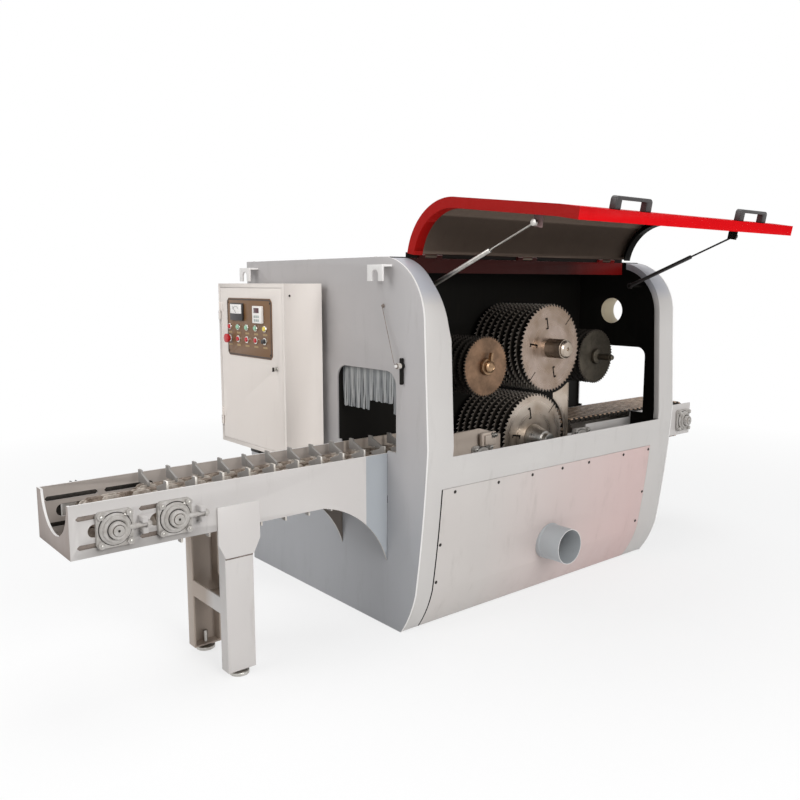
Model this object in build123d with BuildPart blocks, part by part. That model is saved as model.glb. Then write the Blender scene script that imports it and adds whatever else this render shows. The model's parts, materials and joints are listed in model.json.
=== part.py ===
"""Two-arbor multi-rip saw with chain infeed, short outfeed, lifting lid and electric cabinet.

Frame: +X is the feed direction, -Y is the side with the lid, +Z is up.
The origin is on the floor under the housing, 810 from its infeed end. Units are millimetres.
"""
import os
from math import atan2, cos, degrees, hypot, pi, radians, sin

from build123d import *

os.makedirs("parts", exist_ok=True)

# Housing
ENDS_X = (-810, 830)
HEIGHT = 1500
BACK_Y = 672
PLATE = 8
SKIN = 4
INNER_X = (ENDS_X[0] + PLATE, ENDS_X[1] - PLATE)
TOP_ARC_Y = -400
TOP_ARC_R = 250
BELLY = (-672, 775)
BELLY_MID = (-648, 500)
KNEE = (-604, 184)
KNEE_MID = (-568, 88)
TOE = (-514, 0)
SKIN_TOP_Y = -446

# Openings of the housing
WINDOW_X = (-673, 712)
WINDOW_SILL = 732
WINDOW_FLARE = (-722, 1180, 1400)
WINDOW_FLANGE = 26
PANEL_X = (-722, 668)
PANEL_TOP = 606
PANEL_GAP = 1.5
INFEED_OPENING = ((-486, -88), (735, 1056), 60)
OUTFEED_OPENING = ((-502, -88), (735, 1070), 45)
DUST_PORT = (-35, 253)
DUST_PORT_R = 78
DUST_WALL = 3
DUST_RIM_Y = -740
DUST_COLLAR_R = 81
DUST_COLLAR_Y = -632
DUST_OUTLET = (-288, 1254)
DUST_OUTLET_R = 66
DUST_OUTLET_LENGTH = 100

# Lid, drawn shut and then swung open about its hinge
HINGE_Y = -446
HINGE_Z = 1505
LID_OPEN = 79.8
LID_X = (-719.5, 688)
LID_SHEET = 3
LID_RIM = 40
LID_FLANGE = 45
LID_TOP_Z = 1508
LID_ARC_R = 240
LID_FRONT = (-721, 790)
LID_EDGE = (-721, 705)
HANDLE_X = (-425, 371)
HANDLE_SIZE = (205, 26, 45)
KNUCKLE_R = 6
PIN_R = 3
HINGE_X = (-600, -27, 546)

# Gas struts
STRUT_X = (-655, 660)
STRUT_LOW = (-510, 1384)
STRUT_HIGH = (-1040, 1602)
STRUT_TUBE_R = 9
STRUT_ROD_R = 4
STRUT_TUBE_END = 350
STUD_R = 8

# Saw arbors and press wheels
UPPER_ARBOR = (165, 1097)
LOWER_ARBOR = (60, 686)
ARBOR_R = 45
BLADE_R = 206
BLADE_T = 5
BLADE_TEETH = 30
BLADE_GULLET = 14
BLADE_FRONT_Y = -430
BLADE_PITCH = 38
BLADE_COUNT = 9
PRESS_FRONT = (-262, 1038)
PRESS_REAR = (507, 1039)
PRESS_R = 133
PRESS_TEETH = 30
PRESS_DISCS = 7
PRESS_SHAFT_R = 20
ARM_PIVOT_OFFSET = (-68, 162)

# Frame, partition and drives
PARTITION_Y = (-78, -58)
BASE = 60
HOUSING_R = 90
MOTOR_UPPER = (-430, 1150)
MOTOR_LOWER = (-430, 400)
MOTOR_R = 150
PULLEY_R = 80
BELT = 8
BELT_Y = (270, 340)

# Conveyors
FEED_Y = -270
TROUGH_HALF = 160
TROUGH_PLATE = 8
TROUGH_Z = (552, 725)
INFEED_X = (-2052, -160)
OUTFEED_X = (285, 1393)
SHAFT_Z = 634
SHAFT_R = 17.5
IDLER_X = -1915
TAIL_X = -1715
HEAD_X = -285
OUT_TAIL_X = 400
OUT_HEAD_X = 1310
CHAIN_R = 51.5
MAT_R = 87
CHAIN_PITCH = 51.35
LINK_H = 24
STRAND_Y = (-62, 62)
FLIGHT_TOP = 744
FLIGHT_HALF = 122
FLIGHT_T = 8
SPROCKET_R = 39
MAT_SPROCKET_R = 74.5
FAR_WHEEL_R = 82
FLANGE = 117
FLANGE_BOLT = 46
RUN_FIT = 0.05

# Stand
STAND_X = -1478
POST_W = 110
POST_DEPTH = 50
POST_WALL = 6
POST_BOTTOM = 20
FOOT_R = 36
FOOT_PAD = 12

# Cabinet
CABINET_X = (-1023, -837)
CABINET_Y = (-18, 560)
CABINET_Z = (660, 1396)
CABINET_WALL = 2
CABINET_FRAME = 18
DOOR_GAP = 1.5
DOOR_DEPTH = 15
DOOR_FRONT = -1023
PANEL_FRONT = -1026
COLUMNS_Y = (447, 370, 292, 213, 136)
LAMP_ROW_Z = 1203
BUTTON_ROW_Z = 1150
BUTTON_R = 10


def save(part, name):
    """Name a finished piece and write its file."""
    part.label = name
    export_step(part, f"parts/{name}.step")


def block(x, y, z, mode=Mode.ADD):
    """A box between two limits on each axis."""
    with Locations(((x[0] + x[1]) / 2, (y[0] + y[1]) / 2, (z[0] + z[1]) / 2)):
        Box(x[1] - x[0], y[1] - y[0], z[1] - z[0], mode=mode)


def bar_x(x, y, z, radius, mode=Mode.ADD):
    """A round bar along X."""
    with Locations(Location(((x[0] + x[1]) / 2, y, z), (0, 90, 0))):
        Cylinder(radius, x[1] - x[0], mode=mode)


def bar_y(x, y, z, radius, mode=Mode.ADD):
    """A round bar along Y."""
    with Locations(Location((x, (y[0] + y[1]) / 2, z), (90, 0, 0))):
        Cylinder(radius, y[1] - y[0], mode=mode)


def side_plane(y):
    """The plane seen from the lid side, with local axes X and Z, extruding towards -Y."""
    return Plane.XZ.offset(-y)


def turning_plane(centre):
    """A plane through an axis along Y at (x, z), with local axes Y and radius."""
    return Plane(origin=(centre[0], 0, centre[1]), x_dir=(0, 1, 0), z_dir=(1, 0, 0))


def turning_axis(centre):
    """The axis along Y at (x, z)."""
    return Axis((centre[0], 0, centre[1]), (0, 1, 0))


def turned(profile):
    """Half section of a turned piece from its (y, radius) steps."""
    with BuildSketch() as half:
        with BuildLine():
            Polyline((profile[0][0], 0), *profile, (profile[-1][0], 0), close=True)
        make_face()
    return half.sketch


def housing_outline(inset=0):
    """End view of the housing in (y, z)."""
    with BuildSketch() as outline:
        with BuildLine():
            Polyline(TOE, (BACK_Y, 0), (BACK_Y, HEIGHT), (TOP_ARC_Y, HEIGHT))
            CenterArc((TOP_ARC_Y, HEIGHT - TOP_ARC_R), TOP_ARC_R, 90, 90)
            Line((TOP_ARC_Y - TOP_ARC_R, HEIGHT - TOP_ARC_R), BELLY)
            ThreePointArc(BELLY, BELLY_MID, KNEE)
            ThreePointArc(KNEE, KNEE_MID, TOE)
        make_face()
        if inset:
            offset(amount=-inset, kind=Kind.INTERSECTION)
    return outline.sketch


def front_strip(inset, thickness):
    """The curved front stretch of the housing outline as a sheet section in (y, z)."""
    with BuildSketch() as strip:
        add(housing_outline(inset))
        add(housing_outline(inset + thickness), mode=Mode.SUBTRACT)
        with Locations((SKIN_TOP_Y - HEIGHT / 2, HEIGHT / 2 + inset + thickness)):
            Rectangle(HEIGHT, HEIGHT, mode=Mode.INTERSECT)
    return strip.sketch


def feed_opening(y, z, corner_r):
    """The log opening in an end plate, with the slot that the trough passes through."""
    with BuildSketch() as opening:
        with Locations((sum(y) / 2, sum(z) / 2)):
            Rectangle(y[1] - y[0], z[1] - z[0])
        fillet(opening.vertices().group_by(Axis.Y)[-1], corner_r)
        with Locations((FEED_Y, (TROUGH_Z[0] + z[0]) / 2)):
            Rectangle(2 * TROUGH_HALF + 2, z[0] - TROUGH_Z[0] + 70)
    return opening.sketch


def lifting_lug(side, y):
    """A bent lug with an arched notch, standing off an end plate; side is -1 or 1."""
    wall = ENDS_X[0] if side < 0 else ENDS_X[1]
    out = wall + side * 48
    inner = wall + side * 40
    block(sorted((out, wall)), (y - 48, y + 48), (1461, 1469))
    block(sorted((out, inner)), (y - 48, y + 48), (1406, 1461))
    block(sorted((out, inner)), (y - 20, y + 20), (1406, 1430), mode=Mode.SUBTRACT)
    bar_x(sorted((out, inner)), y, 1430, 20, mode=Mode.SUBTRACT)


def end_plate(side):
    """An end plate with its log opening, two lifting lugs and the stud of one gas strut."""
    with BuildPart() as plate:
        with BuildSketch(Plane.YZ.offset(ENDS_X[0] if side < 0 else INNER_X[1])):
            add(housing_outline())
            add(feed_opening(*(INFEED_OPENING if side < 0 else OUTFEED_OPENING)), mode=Mode.SUBTRACT)
        extrude(amount=PLATE)
        for y in (-415, 610):
            lifting_lug(side, y)
        stud_x = (INNER_X[0], STRUT_X[0] + 8) if side < 0 else (STRUT_X[1] - 8, INNER_X[1])
        bar_x(stud_x, *STRUT_LOW, STUD_R)
    return plate.part


# Infeed end plate, with the curtain lugs and the lever peg
CURTAIN_ROD = (-786, 1066)
CURTAIN_ROD_R = 5
CURTAIN_Y = (-482, -92)
LEVER_PIVOT = (-530, 1084)
LEVER_PEG_R = 6
with BuildPart() as infeed_end_plate:
    add(end_plate(-1))
    for lug in ((-485, -475), (-99, -89)):
        block((INNER_X[0], -772), lug, (1052, 1080))
        bar_y(CURTAIN_ROD[0], lug, CURTAIN_ROD[1], CURTAIN_ROD_R + RUN_FIT, mode=Mode.SUBTRACT)
    bar_x((ENDS_X[0] - 40, ENDS_X[0]), *LEVER_PIVOT, LEVER_PEG_R)
save(infeed_end_plate.part, "infeed_end_plate")

# Outfeed end plate, with the round dust outlet
with BuildPart() as outfeed_end_plate:
    add(end_plate(1))
    collar_x = (INNER_X[1], ENDS_X[1] + DUST_OUTLET_LENGTH)
    bar_x(collar_x, *DUST_OUTLET, DUST_OUTLET_R + DUST_WALL)
    bar_x(collar_x, *DUST_OUTLET, DUST_OUTLET_R, mode=Mode.SUBTRACT)
save(outfeed_end_plate.part, "outfeed_end_plate")

# Front skin: two bands and the sill in one bent sheet, with a ledge behind the lower panel
LEDGE = 24
with BuildPart() as front_skin:
    with BuildSketch(Plane.YZ.offset(INNER_X[0])):
        add(front_strip(0, SKIN))
    extrude(amount=INNER_X[1] - INNER_X[0])
    with BuildSketch(side_plane(SKIN_TOP_Y + 20)):
        flare_x, flare_low, flare_high = WINDOW_FLARE
        with BuildLine():
            Polyline((WINDOW_X[0], WINDOW_SILL), (WINDOW_X[1], WINDOW_SILL), (WINDOW_X[1], HEIGHT + 10),
                     (flare_x, HEIGHT + 10), (flare_x, flare_high), (WINDOW_X[0], flare_low), close=True)
        make_face()
    extrude(amount=300, mode=Mode.SUBTRACT)
    with BuildSketch(Plane.YZ.offset(WINDOW_X[1])):
        add(front_strip(SKIN, WINDOW_FLANGE))
        with Locations((SKIN_TOP_Y, WINDOW_SILL)):
            Rectangle(600, HEIGHT, align=(Align.CENTER, Align.MAX), mode=Mode.SUBTRACT)
    extrude(amount=SKIN)
    block(PANEL_X, (-720, SKIN_TOP_Y), (-10, PANEL_TOP), mode=Mode.SUBTRACT)
    with BuildSketch(Plane.YZ.offset(PANEL_X[0] - LEDGE)):
        add(front_strip(SKIN, SKIN))
        with Locations((SKIN_TOP_Y, PANEL_TOP + LEDGE)):
            Rectangle(600, HEIGHT, align=(Align.CENTER, Align.MIN), mode=Mode.SUBTRACT)
    extrude(amount=PANEL_X[1] - PANEL_X[0] + 2 * LEDGE)
    inside = (PANEL_X[0] + LEDGE, PANEL_X[1] - LEDGE)
    block(inside, (-720, SKIN_TOP_Y), (-10, PANEL_TOP - LEDGE), mode=Mode.SUBTRACT)
save(front_skin.part, "front_skin")

# Lower front panel, screwed on, with the hole of the dust port
with BuildPart() as lower_front_panel:
    with BuildSketch(Plane.YZ.offset(PANEL_X[0] + PANEL_GAP)):
        add(front_strip(0, SKIN))
        with Locations((SKIN_TOP_Y, PANEL_TOP - PANEL_GAP)):
            Rectangle(600, HEIGHT, align=(Align.CENTER, Align.MIN), mode=Mode.SUBTRACT)
    extrude(amount=PANEL_X[1] - PANEL_X[0] - 2 * PANEL_GAP)
    bar_y(DUST_PORT[0], (-700, -500), DUST_PORT[1], DUST_COLLAR_R + RUN_FIT, mode=Mode.SUBTRACT)
save(lower_front_panel.part, "lower_front_panel")

# Dust port: a tube for a hose, with a weld collar where it passes through the lower panel
with BuildPart() as dust_port:
    bar_y(DUST_PORT[0], (DUST_RIM_Y, DUST_COLLAR_Y), DUST_PORT[1], DUST_PORT_R)
    bar_y(DUST_PORT[0], (DUST_COLLAR_Y, -590), DUST_PORT[1], DUST_COLLAR_R)
    bar_y(DUST_PORT[0], (DUST_RIM_Y, -590), DUST_PORT[1], DUST_PORT_R - DUST_WALL, mode=Mode.SUBTRACT)
save(dust_port.part, "dust_port")

# Top cover with its front edge turned up behind the hinges, and back panel
with BuildPart() as top_cover:
    block(INNER_X, (-438, BACK_Y - SKIN), (HEIGHT - SKIN, HEIGHT))
    block((LID_X[0], LID_X[1]), (-438, -438 + SKIN), (HEIGHT, HEIGHT + 18))
save(top_cover.part, "top_cover")

with BuildPart() as back_panel:
    block(INNER_X, (BACK_Y - SKIN, BACK_Y), (0, HEIGHT))
save(back_panel.part, "back_panel")

# Machine frame: base bars, partition that carries the saw, motor shelves and press arm pivots
ARM_Y = (-100, -84)
with BuildPart() as machine_frame:
    for y in ((-490, -430), (-30, 30), (BACK_Y - SKIN - BASE, BACK_Y - SKIN)):
        block(INNER_X, y, (0, BASE))
    for x in ((INNER_X[0], INNER_X[0] + BASE), (INNER_X[1] - BASE, INNER_X[1])):
        block(x, (-490, BACK_Y - SKIN), (0, BASE))
    block(INNER_X, PARTITION_Y, (BASE, HEIGHT - SKIN))
    block(INNER_X, (-78, -30), (0, BASE))
    for centre in (UPPER_ARBOR, LOWER_ARBOR):
        bar_y(centre[0], (-90, -50), centre[1], HOUSING_R + 0.3, mode=Mode.SUBTRACT)
    for x in (HEAD_X, OUT_TAIL_X):
        bar_y(x, (-90, -50), SHAFT_Z, SHAFT_R + 5, mode=Mode.SUBTRACT)
    for motor in (MOTOR_UPPER, MOTOR_LOWER):
        shelf = motor[1] - MOTOR_R - 20
        block((motor[0] - 180, motor[0] + 180), (PARTITION_Y[1], 230), (shelf - 15, shelf))
    for wheel in (PRESS_FRONT, PRESS_REAR):
        pivot = (wheel[0] + ARM_PIVOT_OFFSET[0], wheel[1] + ARM_PIVOT_OFFSET[1])
        bar_y(pivot[0], (ARM_Y[0] - 4, PARTITION_Y[0]), pivot[1], PRESS_SHAFT_R)
save(machine_frame.part, "machine_frame")

# Hinge rail under the lid's edge, with fixed knuckles and hinge pins
RAIL_X = (LID_X[0] + 8, LID_X[1] - 8)
with BuildPart() as hinge_rail:
    block(RAIL_X, (SKIN_TOP_Y + 1, -416), (1438, HEIGHT - SKIN))
    for x in HINGE_X:
        bar_x((x - 62, x + 62), HINGE_Y, HINGE_Z, PIN_R)
        for knuckle in ((x - 62, x - 31), (x + 31, x + 62)):
            bar_x(knuckle, HINGE_Y, HINGE_Z, KNUCKLE_R)
            block(knuckle, (HINGE_Y - 3, HINGE_Y + 8), (HEIGHT - SKIN, HINGE_Z))
save(hinge_rail.part, "hinge_rail")


def lid_section(depth):
    """Section of the shut lid in (y, z), from its outer face to depth inside it."""
    arc_centre = (HINGE_Y - 8, LID_TOP_Z - LID_ARC_R)
    with BuildSketch() as section:
        for radius, shift, mode in ((LID_ARC_R, 0, Mode.ADD), (LID_ARC_R - depth, depth, Mode.SUBTRACT)):
            with BuildLine():
                CenterArc(arc_centre, radius, 90, 90)
                low = (LID_FRONT[0] + shift, LID_FRONT[1])
                edge = (LID_EDGE[0] + shift, LID_EDGE[1])
                Polyline((arc_centre[0] - radius, arc_centre[1]), low, edge,
                         (arc_centre[0], edge[1]), (arc_centre[0], arc_centre[1] + radius))
            make_face(mode=mode)
    return section.sketch


def opened(part):
    """Swing a lid piece from shut to its propped-open rest place."""
    return part.rotate(Axis((0, HINGE_Y, HINGE_Z), (1, 0, 0)), -LID_OPEN)


def shut(point):
    """Where an open-lid point (y, z) lies when the lid is shut."""
    y, z = point[0] - HINGE_Y, point[1] - HINGE_Z
    c, s = cos(radians(LID_OPEN)), sin(radians(LID_OPEN))
    return HINGE_Y + y * c - z * s, HINGE_Z + y * s + z * c


def lid_face_y(z):
    """Outer face of the shut lid at height z on its flat stretch."""
    top_y, top_z = HINGE_Y - 8 - LID_ARC_R, LID_TOP_Z - LID_ARC_R
    return top_y + (LID_FRONT[0] - top_y) * (top_z - z) / (top_z - LID_FRONT[1])


# Lid shell: bent sheet with rims turned in twice, front lip, hinge knuckles and strut brackets
BRACKET_X = (14, 20)
LID_PIVOT = shut(STRUT_HIGH)
with BuildPart() as lid_shut:
    with BuildSketch(Plane.YZ.offset(LID_X[0])):
        add(lid_section(LID_SHEET))
    extrude(amount=LID_X[1] - LID_X[0])
    for x in (LID_X[0], LID_X[1] - LID_SHEET):
        with BuildSketch(Plane.YZ.offset(x)):
            add(lid_section(LID_RIM))
        extrude(amount=LID_SHEET)
    for x in (LID_X[0], LID_X[1] - LID_FLANGE):
        with BuildSketch(Plane.YZ.offset(x)):
            add(lid_section(LID_RIM))
            add(lid_section(LID_RIM - LID_SHEET), mode=Mode.SUBTRACT)
        extrude(amount=LID_FLANGE)
    lip_y = (LID_EDGE[0], LID_EDGE[0] + LID_RIM)
    block(LID_X, lip_y, (LID_EDGE[1], LID_EDGE[1] + LID_SHEET))
    for x in HINGE_X:
        bar_x((x - 30.5, x + 30.5), HINGE_Y, HINGE_Z, KNUCKLE_R)
        block((x - 30.5, x + 30.5), (HINGE_Y - 12, HINGE_Y), (HINGE_Z, LID_TOP_Z))
        bar_x((x - 31, x + 31), HINGE_Y, HINGE_Z, PIN_R + RUN_FIT, mode=Mode.SUBTRACT)
    for x in (STRUT_X[0] + BRACKET_X[0], STRUT_X[1] - BRACKET_X[1]):
        bracket_y = (lid_face_y(LID_PIVOT[1]) + LID_SHEET / 2, LID_PIVOT[0] + 14)
        block((x, x + 6), bracket_y, (LID_PIVOT[1] - 20, LID_PIVOT[1] + 20))
save(opened(lid_shut.part), "lid_shell")

# Lid handles: two moulded bridges near the lid's front edge
HANDLE_Z = LID_EDGE[1] + 24
with BuildPart() as handles_shut:
    length, width, rise = HANDLE_SIZE
    for x in HANDLE_X:
        with BuildSketch(Plane.XY.offset(HANDLE_Z - width / 2)) as bridge:
            with Locations((x, LID_EDGE[0])):
                Trapezoid(length, rise, 88, rotation=180, align=(Align.CENTER, Align.MIN))
            fillet(bridge.vertices().group_by(Axis.Y)[0], 14)
            with Locations((x, LID_EDGE[0])):
                Rectangle(length - 65, rise - 13, align=(Align.CENTER, Align.MAX), mode=Mode.SUBTRACT)
        extrude(amount=width)
save(opened(handles_shut.part), "lid_handles")

# Gas struts: a tube on the stud of each end plate, and a rod that slides in it
STRUT_DIR = (STRUT_HIGH[0] - STRUT_LOW[0], STRUT_HIGH[1] - STRUT_LOW[1])
STRUT_LENGTH = hypot(*STRUT_DIR)
for name, x in zip(("left", "right"), STRUT_X):
    strut_plane = Plane(
        origin=(x, *STRUT_LOW),
        x_dir=(1, 0, 0),
        z_dir=(0, STRUT_DIR[0] / STRUT_LENGTH, STRUT_DIR[1] / STRUT_LENGTH),
    )
    with BuildPart() as strut_tube:
        with BuildSketch(strut_plane.offset(10)):
            Circle(STRUT_TUBE_R)
        extrude(amount=STRUT_TUBE_END - 10)
        bar_x((x - 7, x + 7), *STRUT_LOW, 14)
        bar_x((x - 7, x + 7), *STRUT_LOW, STUD_R + RUN_FIT, mode=Mode.SUBTRACT)
        with BuildSketch(strut_plane.offset(80)):
            Circle(STRUT_ROD_R + RUN_FIT)
        extrude(amount=STRUT_TUBE_END - 80, mode=Mode.SUBTRACT)
    save(strut_tube.part, f"{name}_strut_tube")
    with BuildPart() as strut_rod:
        with BuildSketch(strut_plane.offset(240)):
            Circle(STRUT_ROD_R)
        extrude(amount=STRUT_LENGTH - 240)
        bar_x((x - 8, x + 8), *STRUT_HIGH, 12)
        bar_x(sorted((x, x + (13.5 if x < 0 else -13.5))), *STRUT_HIGH, 7)
    save(strut_rod.part, f"{name}_strut_rod")


def saw_teeth(radius, teeth, gullet):
    """Outline points of a toothed disc: an upright tooth face and a sloping back."""
    step = 2 * pi / teeth
    points = []
    for k in range(teeth):
        points.append((radius * cos(k * step), radius * sin(k * step)))
        root = (k + 0.22) * step
        points.append(((radius - gullet) * cos(root), (radius - gullet) * sin(root)))
    return points


def blade_face(slots=False):
    """One saw blade seen from the side, with expansion slots on request."""
    with BuildSketch() as face:
        with BuildLine():
            Polyline(*saw_teeth(BLADE_R, BLADE_TEETH, BLADE_GULLET), close=True)
        make_face()
        Circle(ARBOR_R + RUN_FIT, mode=Mode.SUBTRACT)
        if slots:
            with PolarLocations(BLADE_R * 0.57, 4, start_angle=12):
                Rectangle(44, 5, mode=Mode.SUBTRACT)
            with PolarLocations(BLADE_R - 30, 4, start_angle=45):
                Rectangle(34, 3, mode=Mode.SUBTRACT)
    return face.sketch


def blade_stack(centre):
    """The blades of one arbor, each a separate disc."""
    with BuildPart() as stack:
        for k in range(BLADE_COUNT):
            y = BLADE_FRONT_Y + k * BLADE_PITCH + BLADE_T / 2
            with BuildSketch(side_plane(y)):
                with Locations(centre):
                    add(blade_face(slots=k == 0))
            extrude(amount=BLADE_T)
    return stack.part


save(blade_stack(UPPER_ARBOR), "upper_blades")
save(blade_stack(LOWER_ARBOR), "lower_blades")

# Upper arbor: turned shaft with its belt pulley, and a socket-head end cap in front
UPPER_END_Y = -532
with BuildPart() as upper_arbor_shaft:
    with BuildSketch(turning_plane(UPPER_ARBOR)):
        add(turned([(UPPER_END_Y + 10, ARBOR_R), (BELT_Y[0] - 10, ARBOR_R),
                    (BELT_Y[0] - 10, PULLEY_R), (BELT_Y[1] + 10, PULLEY_R)]))
    revolve(axis=turning_axis(UPPER_ARBOR))
save(upper_arbor_shaft.part, "upper_arbor_shaft")

with BuildPart() as upper_arbor_cap:
    with BuildSketch(turning_plane(UPPER_ARBOR)):
        add(turned([(UPPER_END_Y - 4, 32), (UPPER_END_Y + 4, 41), (UPPER_END_Y + 10, 41)]))
    revolve(axis=turning_axis(UPPER_ARBOR))
    with BuildSketch(side_plane(UPPER_END_Y + 4)):
        with Locations(UPPER_ARBOR):
            RegularPolygon(10, 6)
    extrude(amount=20, mode=Mode.SUBTRACT)
save(upper_arbor_cap.part, "upper_arbor_cap")

# Lower arbor: turned shaft with its belt pulley, and a conical clamp nut in front
NUT_Y = (-530, -434)
with BuildPart() as lower_arbor_shaft:
    with BuildSketch(turning_plane(LOWER_ARBOR)):
        add(turned([(NUT_Y[1], ARBOR_R), (BELT_Y[0] - 10, ARBOR_R),
                    (BELT_Y[0] - 10, PULLEY_R), (BELT_Y[1] + 10, PULLEY_R)]))
    revolve(axis=turning_axis(LOWER_ARBOR))
save(lower_arbor_shaft.part, "lower_arbor_shaft")

with BuildPart() as lower_arbor_nut:
    with BuildSketch(turning_plane(LOWER_ARBOR)):
        add(turned([(NUT_Y[0], 30), (NUT_Y[0] + 24, 30), (NUT_Y[0] + 24, 38), (NUT_Y[1], 62)]))
    revolve(axis=turning_axis(LOWER_ARBOR))
save(lower_arbor_nut.part, "lower_arbor_nut")

# Arbor bearing housings, bolted to the back of the partition
with BuildPart() as arbor_housings:
    for centre in (UPPER_ARBOR, LOWER_ARBOR):
        with BuildSketch(turning_plane(centre)):
            add(turned([(-98, HOUSING_R), (PARTITION_Y[1], HOUSING_R), (PARTITION_Y[1], 130),
                        (-36, 130), (-36, HOUSING_R), (230, HOUSING_R)]))
        revolve(axis=turning_axis(centre))
        bar_y(centre[0], (-110, 240), centre[1], ARBOR_R + RUN_FIT, mode=Mode.SUBTRACT)
save(arbor_housings.part, "arbor_housings")

# Main motors on their shelves, and two gearmotors on the conveyor shafts
MOTOR_Y = (-50, 220)
GEAR_Y = (-50, 110)
with BuildPart() as drive_motors:
    for motor in (MOTOR_UPPER, MOTOR_LOWER):
        bar_y(motor[0], MOTOR_Y, motor[1], MOTOR_R)
        block((motor[0] - 130, motor[0] + 130), (0, 180), (motor[1] - MOTOR_R - 20, motor[1] - 60))
        bar_y(motor[0], (MOTOR_Y[1] - 60, MOTOR_Y[1] + 10), motor[1], 20 + RUN_FIT, mode=Mode.SUBTRACT)
    for x in (HEAD_X, OUT_TAIL_X):
        block((x - 60, x + 60), GEAR_Y, (SHAFT_Z - 60, SHAFT_Z + 60))
        bar_y(x, (GEAR_Y[1], GEAR_Y[1] + 160), SHAFT_Z, 55)
        bar_y(x, (GEAR_Y[0] - 5, GEAR_Y[1] - 20), SHAFT_Z, SHAFT_R + RUN_FIT, mode=Mode.SUBTRACT)
save(drive_motors.part, "drive_motors")

for name, motor in (("upper", MOTOR_UPPER), ("lower", MOTOR_LOWER)):
    with BuildPart() as motor_pulley:
        with BuildSketch(turning_plane(motor)):
            add(turned([(MOTOR_Y[1] - 55, 20), (BELT_Y[0] - 10, 20),
                        (BELT_Y[0] - 10, PULLEY_R), (BELT_Y[1] + 10, PULLEY_R)]))
        revolve(axis=turning_axis(motor))
    save(motor_pulley.part, f"{name}_motor_pulley")

# Drive belts, one wide ribbed belt from each motor pulley to its arbor pulley
with BuildPart() as drive_belts:
    for motor, arbor in ((MOTOR_UPPER, UPPER_ARBOR), (MOTOR_LOWER, LOWER_ARBOR)):
        span = (arbor[0] - motor[0], arbor[1] - motor[1])
        middle = ((arbor[0] + motor[0]) / 2, (arbor[1] + motor[1]) / 2)
        turn = degrees(atan2(span[1], span[0]))
        with BuildSketch(side_plane(BELT_Y[1])):
            with Locations(Location(middle, turn)):
                SlotCenterToCenter(hypot(*span), 2 * (PULLEY_R + 0.3 + BELT))
                SlotCenterToCenter(hypot(*span), 2 * (PULLEY_R + 0.3), mode=Mode.SUBTRACT)
        extrude(amount=BELT_Y[1] - BELT_Y[0])
save(drive_belts.part, "drive_belts")


def toothed_disc(radius, teeth, gullet):
    """A plain toothed disc seen from the side."""
    with BuildSketch() as face:
        with BuildLine():
            Polyline(*saw_teeth(radius, teeth, gullet), close=True)
        make_face()
    return face.sketch


# Press wheels on their shafts, each on an arm that swings from the partition
PRESS_NOSE = {"front": (-466, 26), "rear": (-536, 16)}
for name, centre in (("front", PRESS_FRONT), ("rear", PRESS_REAR)):
    nose_y, nose_r = PRESS_NOSE[name]
    with BuildPart() as press_wheels:
        with BuildSketch(turning_plane(centre)):
            add(turned([(nose_y, nose_r), (-452, nose_r), (-452, 38), (-434, 38), (-434, 30), (-192, 30),
                        (-192, PRESS_SHAFT_R), (ARM_Y[1], PRESS_SHAFT_R)]))
        revolve(axis=turning_axis(centre))
        for k in range(PRESS_DISCS):
            with BuildSketch(side_plane(BLADE_FRONT_Y + k * BLADE_PITCH + 4)):
                with Locations(centre):
                    add(toothed_disc(PRESS_R, PRESS_TEETH, 9))
            extrude(amount=8)
    save(press_wheels.part, f"{name}_press_wheels")
    with BuildPart() as press_arm:
        pivot = (centre[0] + ARM_PIVOT_OFFSET[0], centre[1] + ARM_PIVOT_OFFSET[1])
        middle = ((centre[0] + pivot[0]) / 2, (centre[1] + pivot[1]) / 2)
        turn = degrees(atan2(pivot[1] - centre[1], pivot[0] - centre[0]))
        with BuildSketch(side_plane(ARM_Y[1])):
            with Locations(Location(middle, turn)):
                SlotCenterToCenter(hypot(*ARM_PIVOT_OFFSET), 84)
            with Locations(centre, pivot):
                Circle(PRESS_SHAFT_R + RUN_FIT, mode=Mode.SUBTRACT)
        extrude(amount=ARM_Y[1] - ARM_Y[0])
    save(press_arm.part, f"{name}_press_arm")


def trough_side(x_span, gusset):
    """Side plate of a conveyor in (x, z); gusset is the housing face that its arch runs to."""
    near_end, far_end = x_span
    toe = 1 if gusset > 0 else -1
    arch = (gusset + toe * 309, gusset + toe * 120, gusset + toe)
    with BuildSketch() as side:
        with Locations(((near_end + far_end) / 2, sum(TROUGH_Z) / 2)):
            Rectangle(far_end - near_end, TROUGH_Z[1] - TROUGH_Z[0])
        with BuildLine():
            ThreePointArc((arch[0], TROUGH_Z[0]), (arch[1], 462), (arch[2], 281))
            Polyline((arch[2], 281), (arch[2], TROUGH_Z[0]), (arch[0], TROUGH_Z[0]))
        make_face()
    return side.sketch


TROUGH_Y = (FEED_Y - TROUGH_HALF, FEED_Y + TROUGH_HALF)
TROUGH_INNER = (TROUGH_Y[0] + TROUGH_PLATE, TROUGH_Y[1] - TROUGH_PLATE)
TIE_Z = (612, 640)
RAIL_TOP = SHAFT_Z + CHAIN_R - LINK_H / 2 - 0.5
TAKE_UP_LUG = (80, 96)


def bolt_slot():
    """A flame-cut slot with pointed ends for the bearing bolts."""
    with BuildSketch() as slot:
        Rectangle(178, 16)
        chamfer(slot.vertices(), 7.5)
    return slot.sketch


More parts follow.
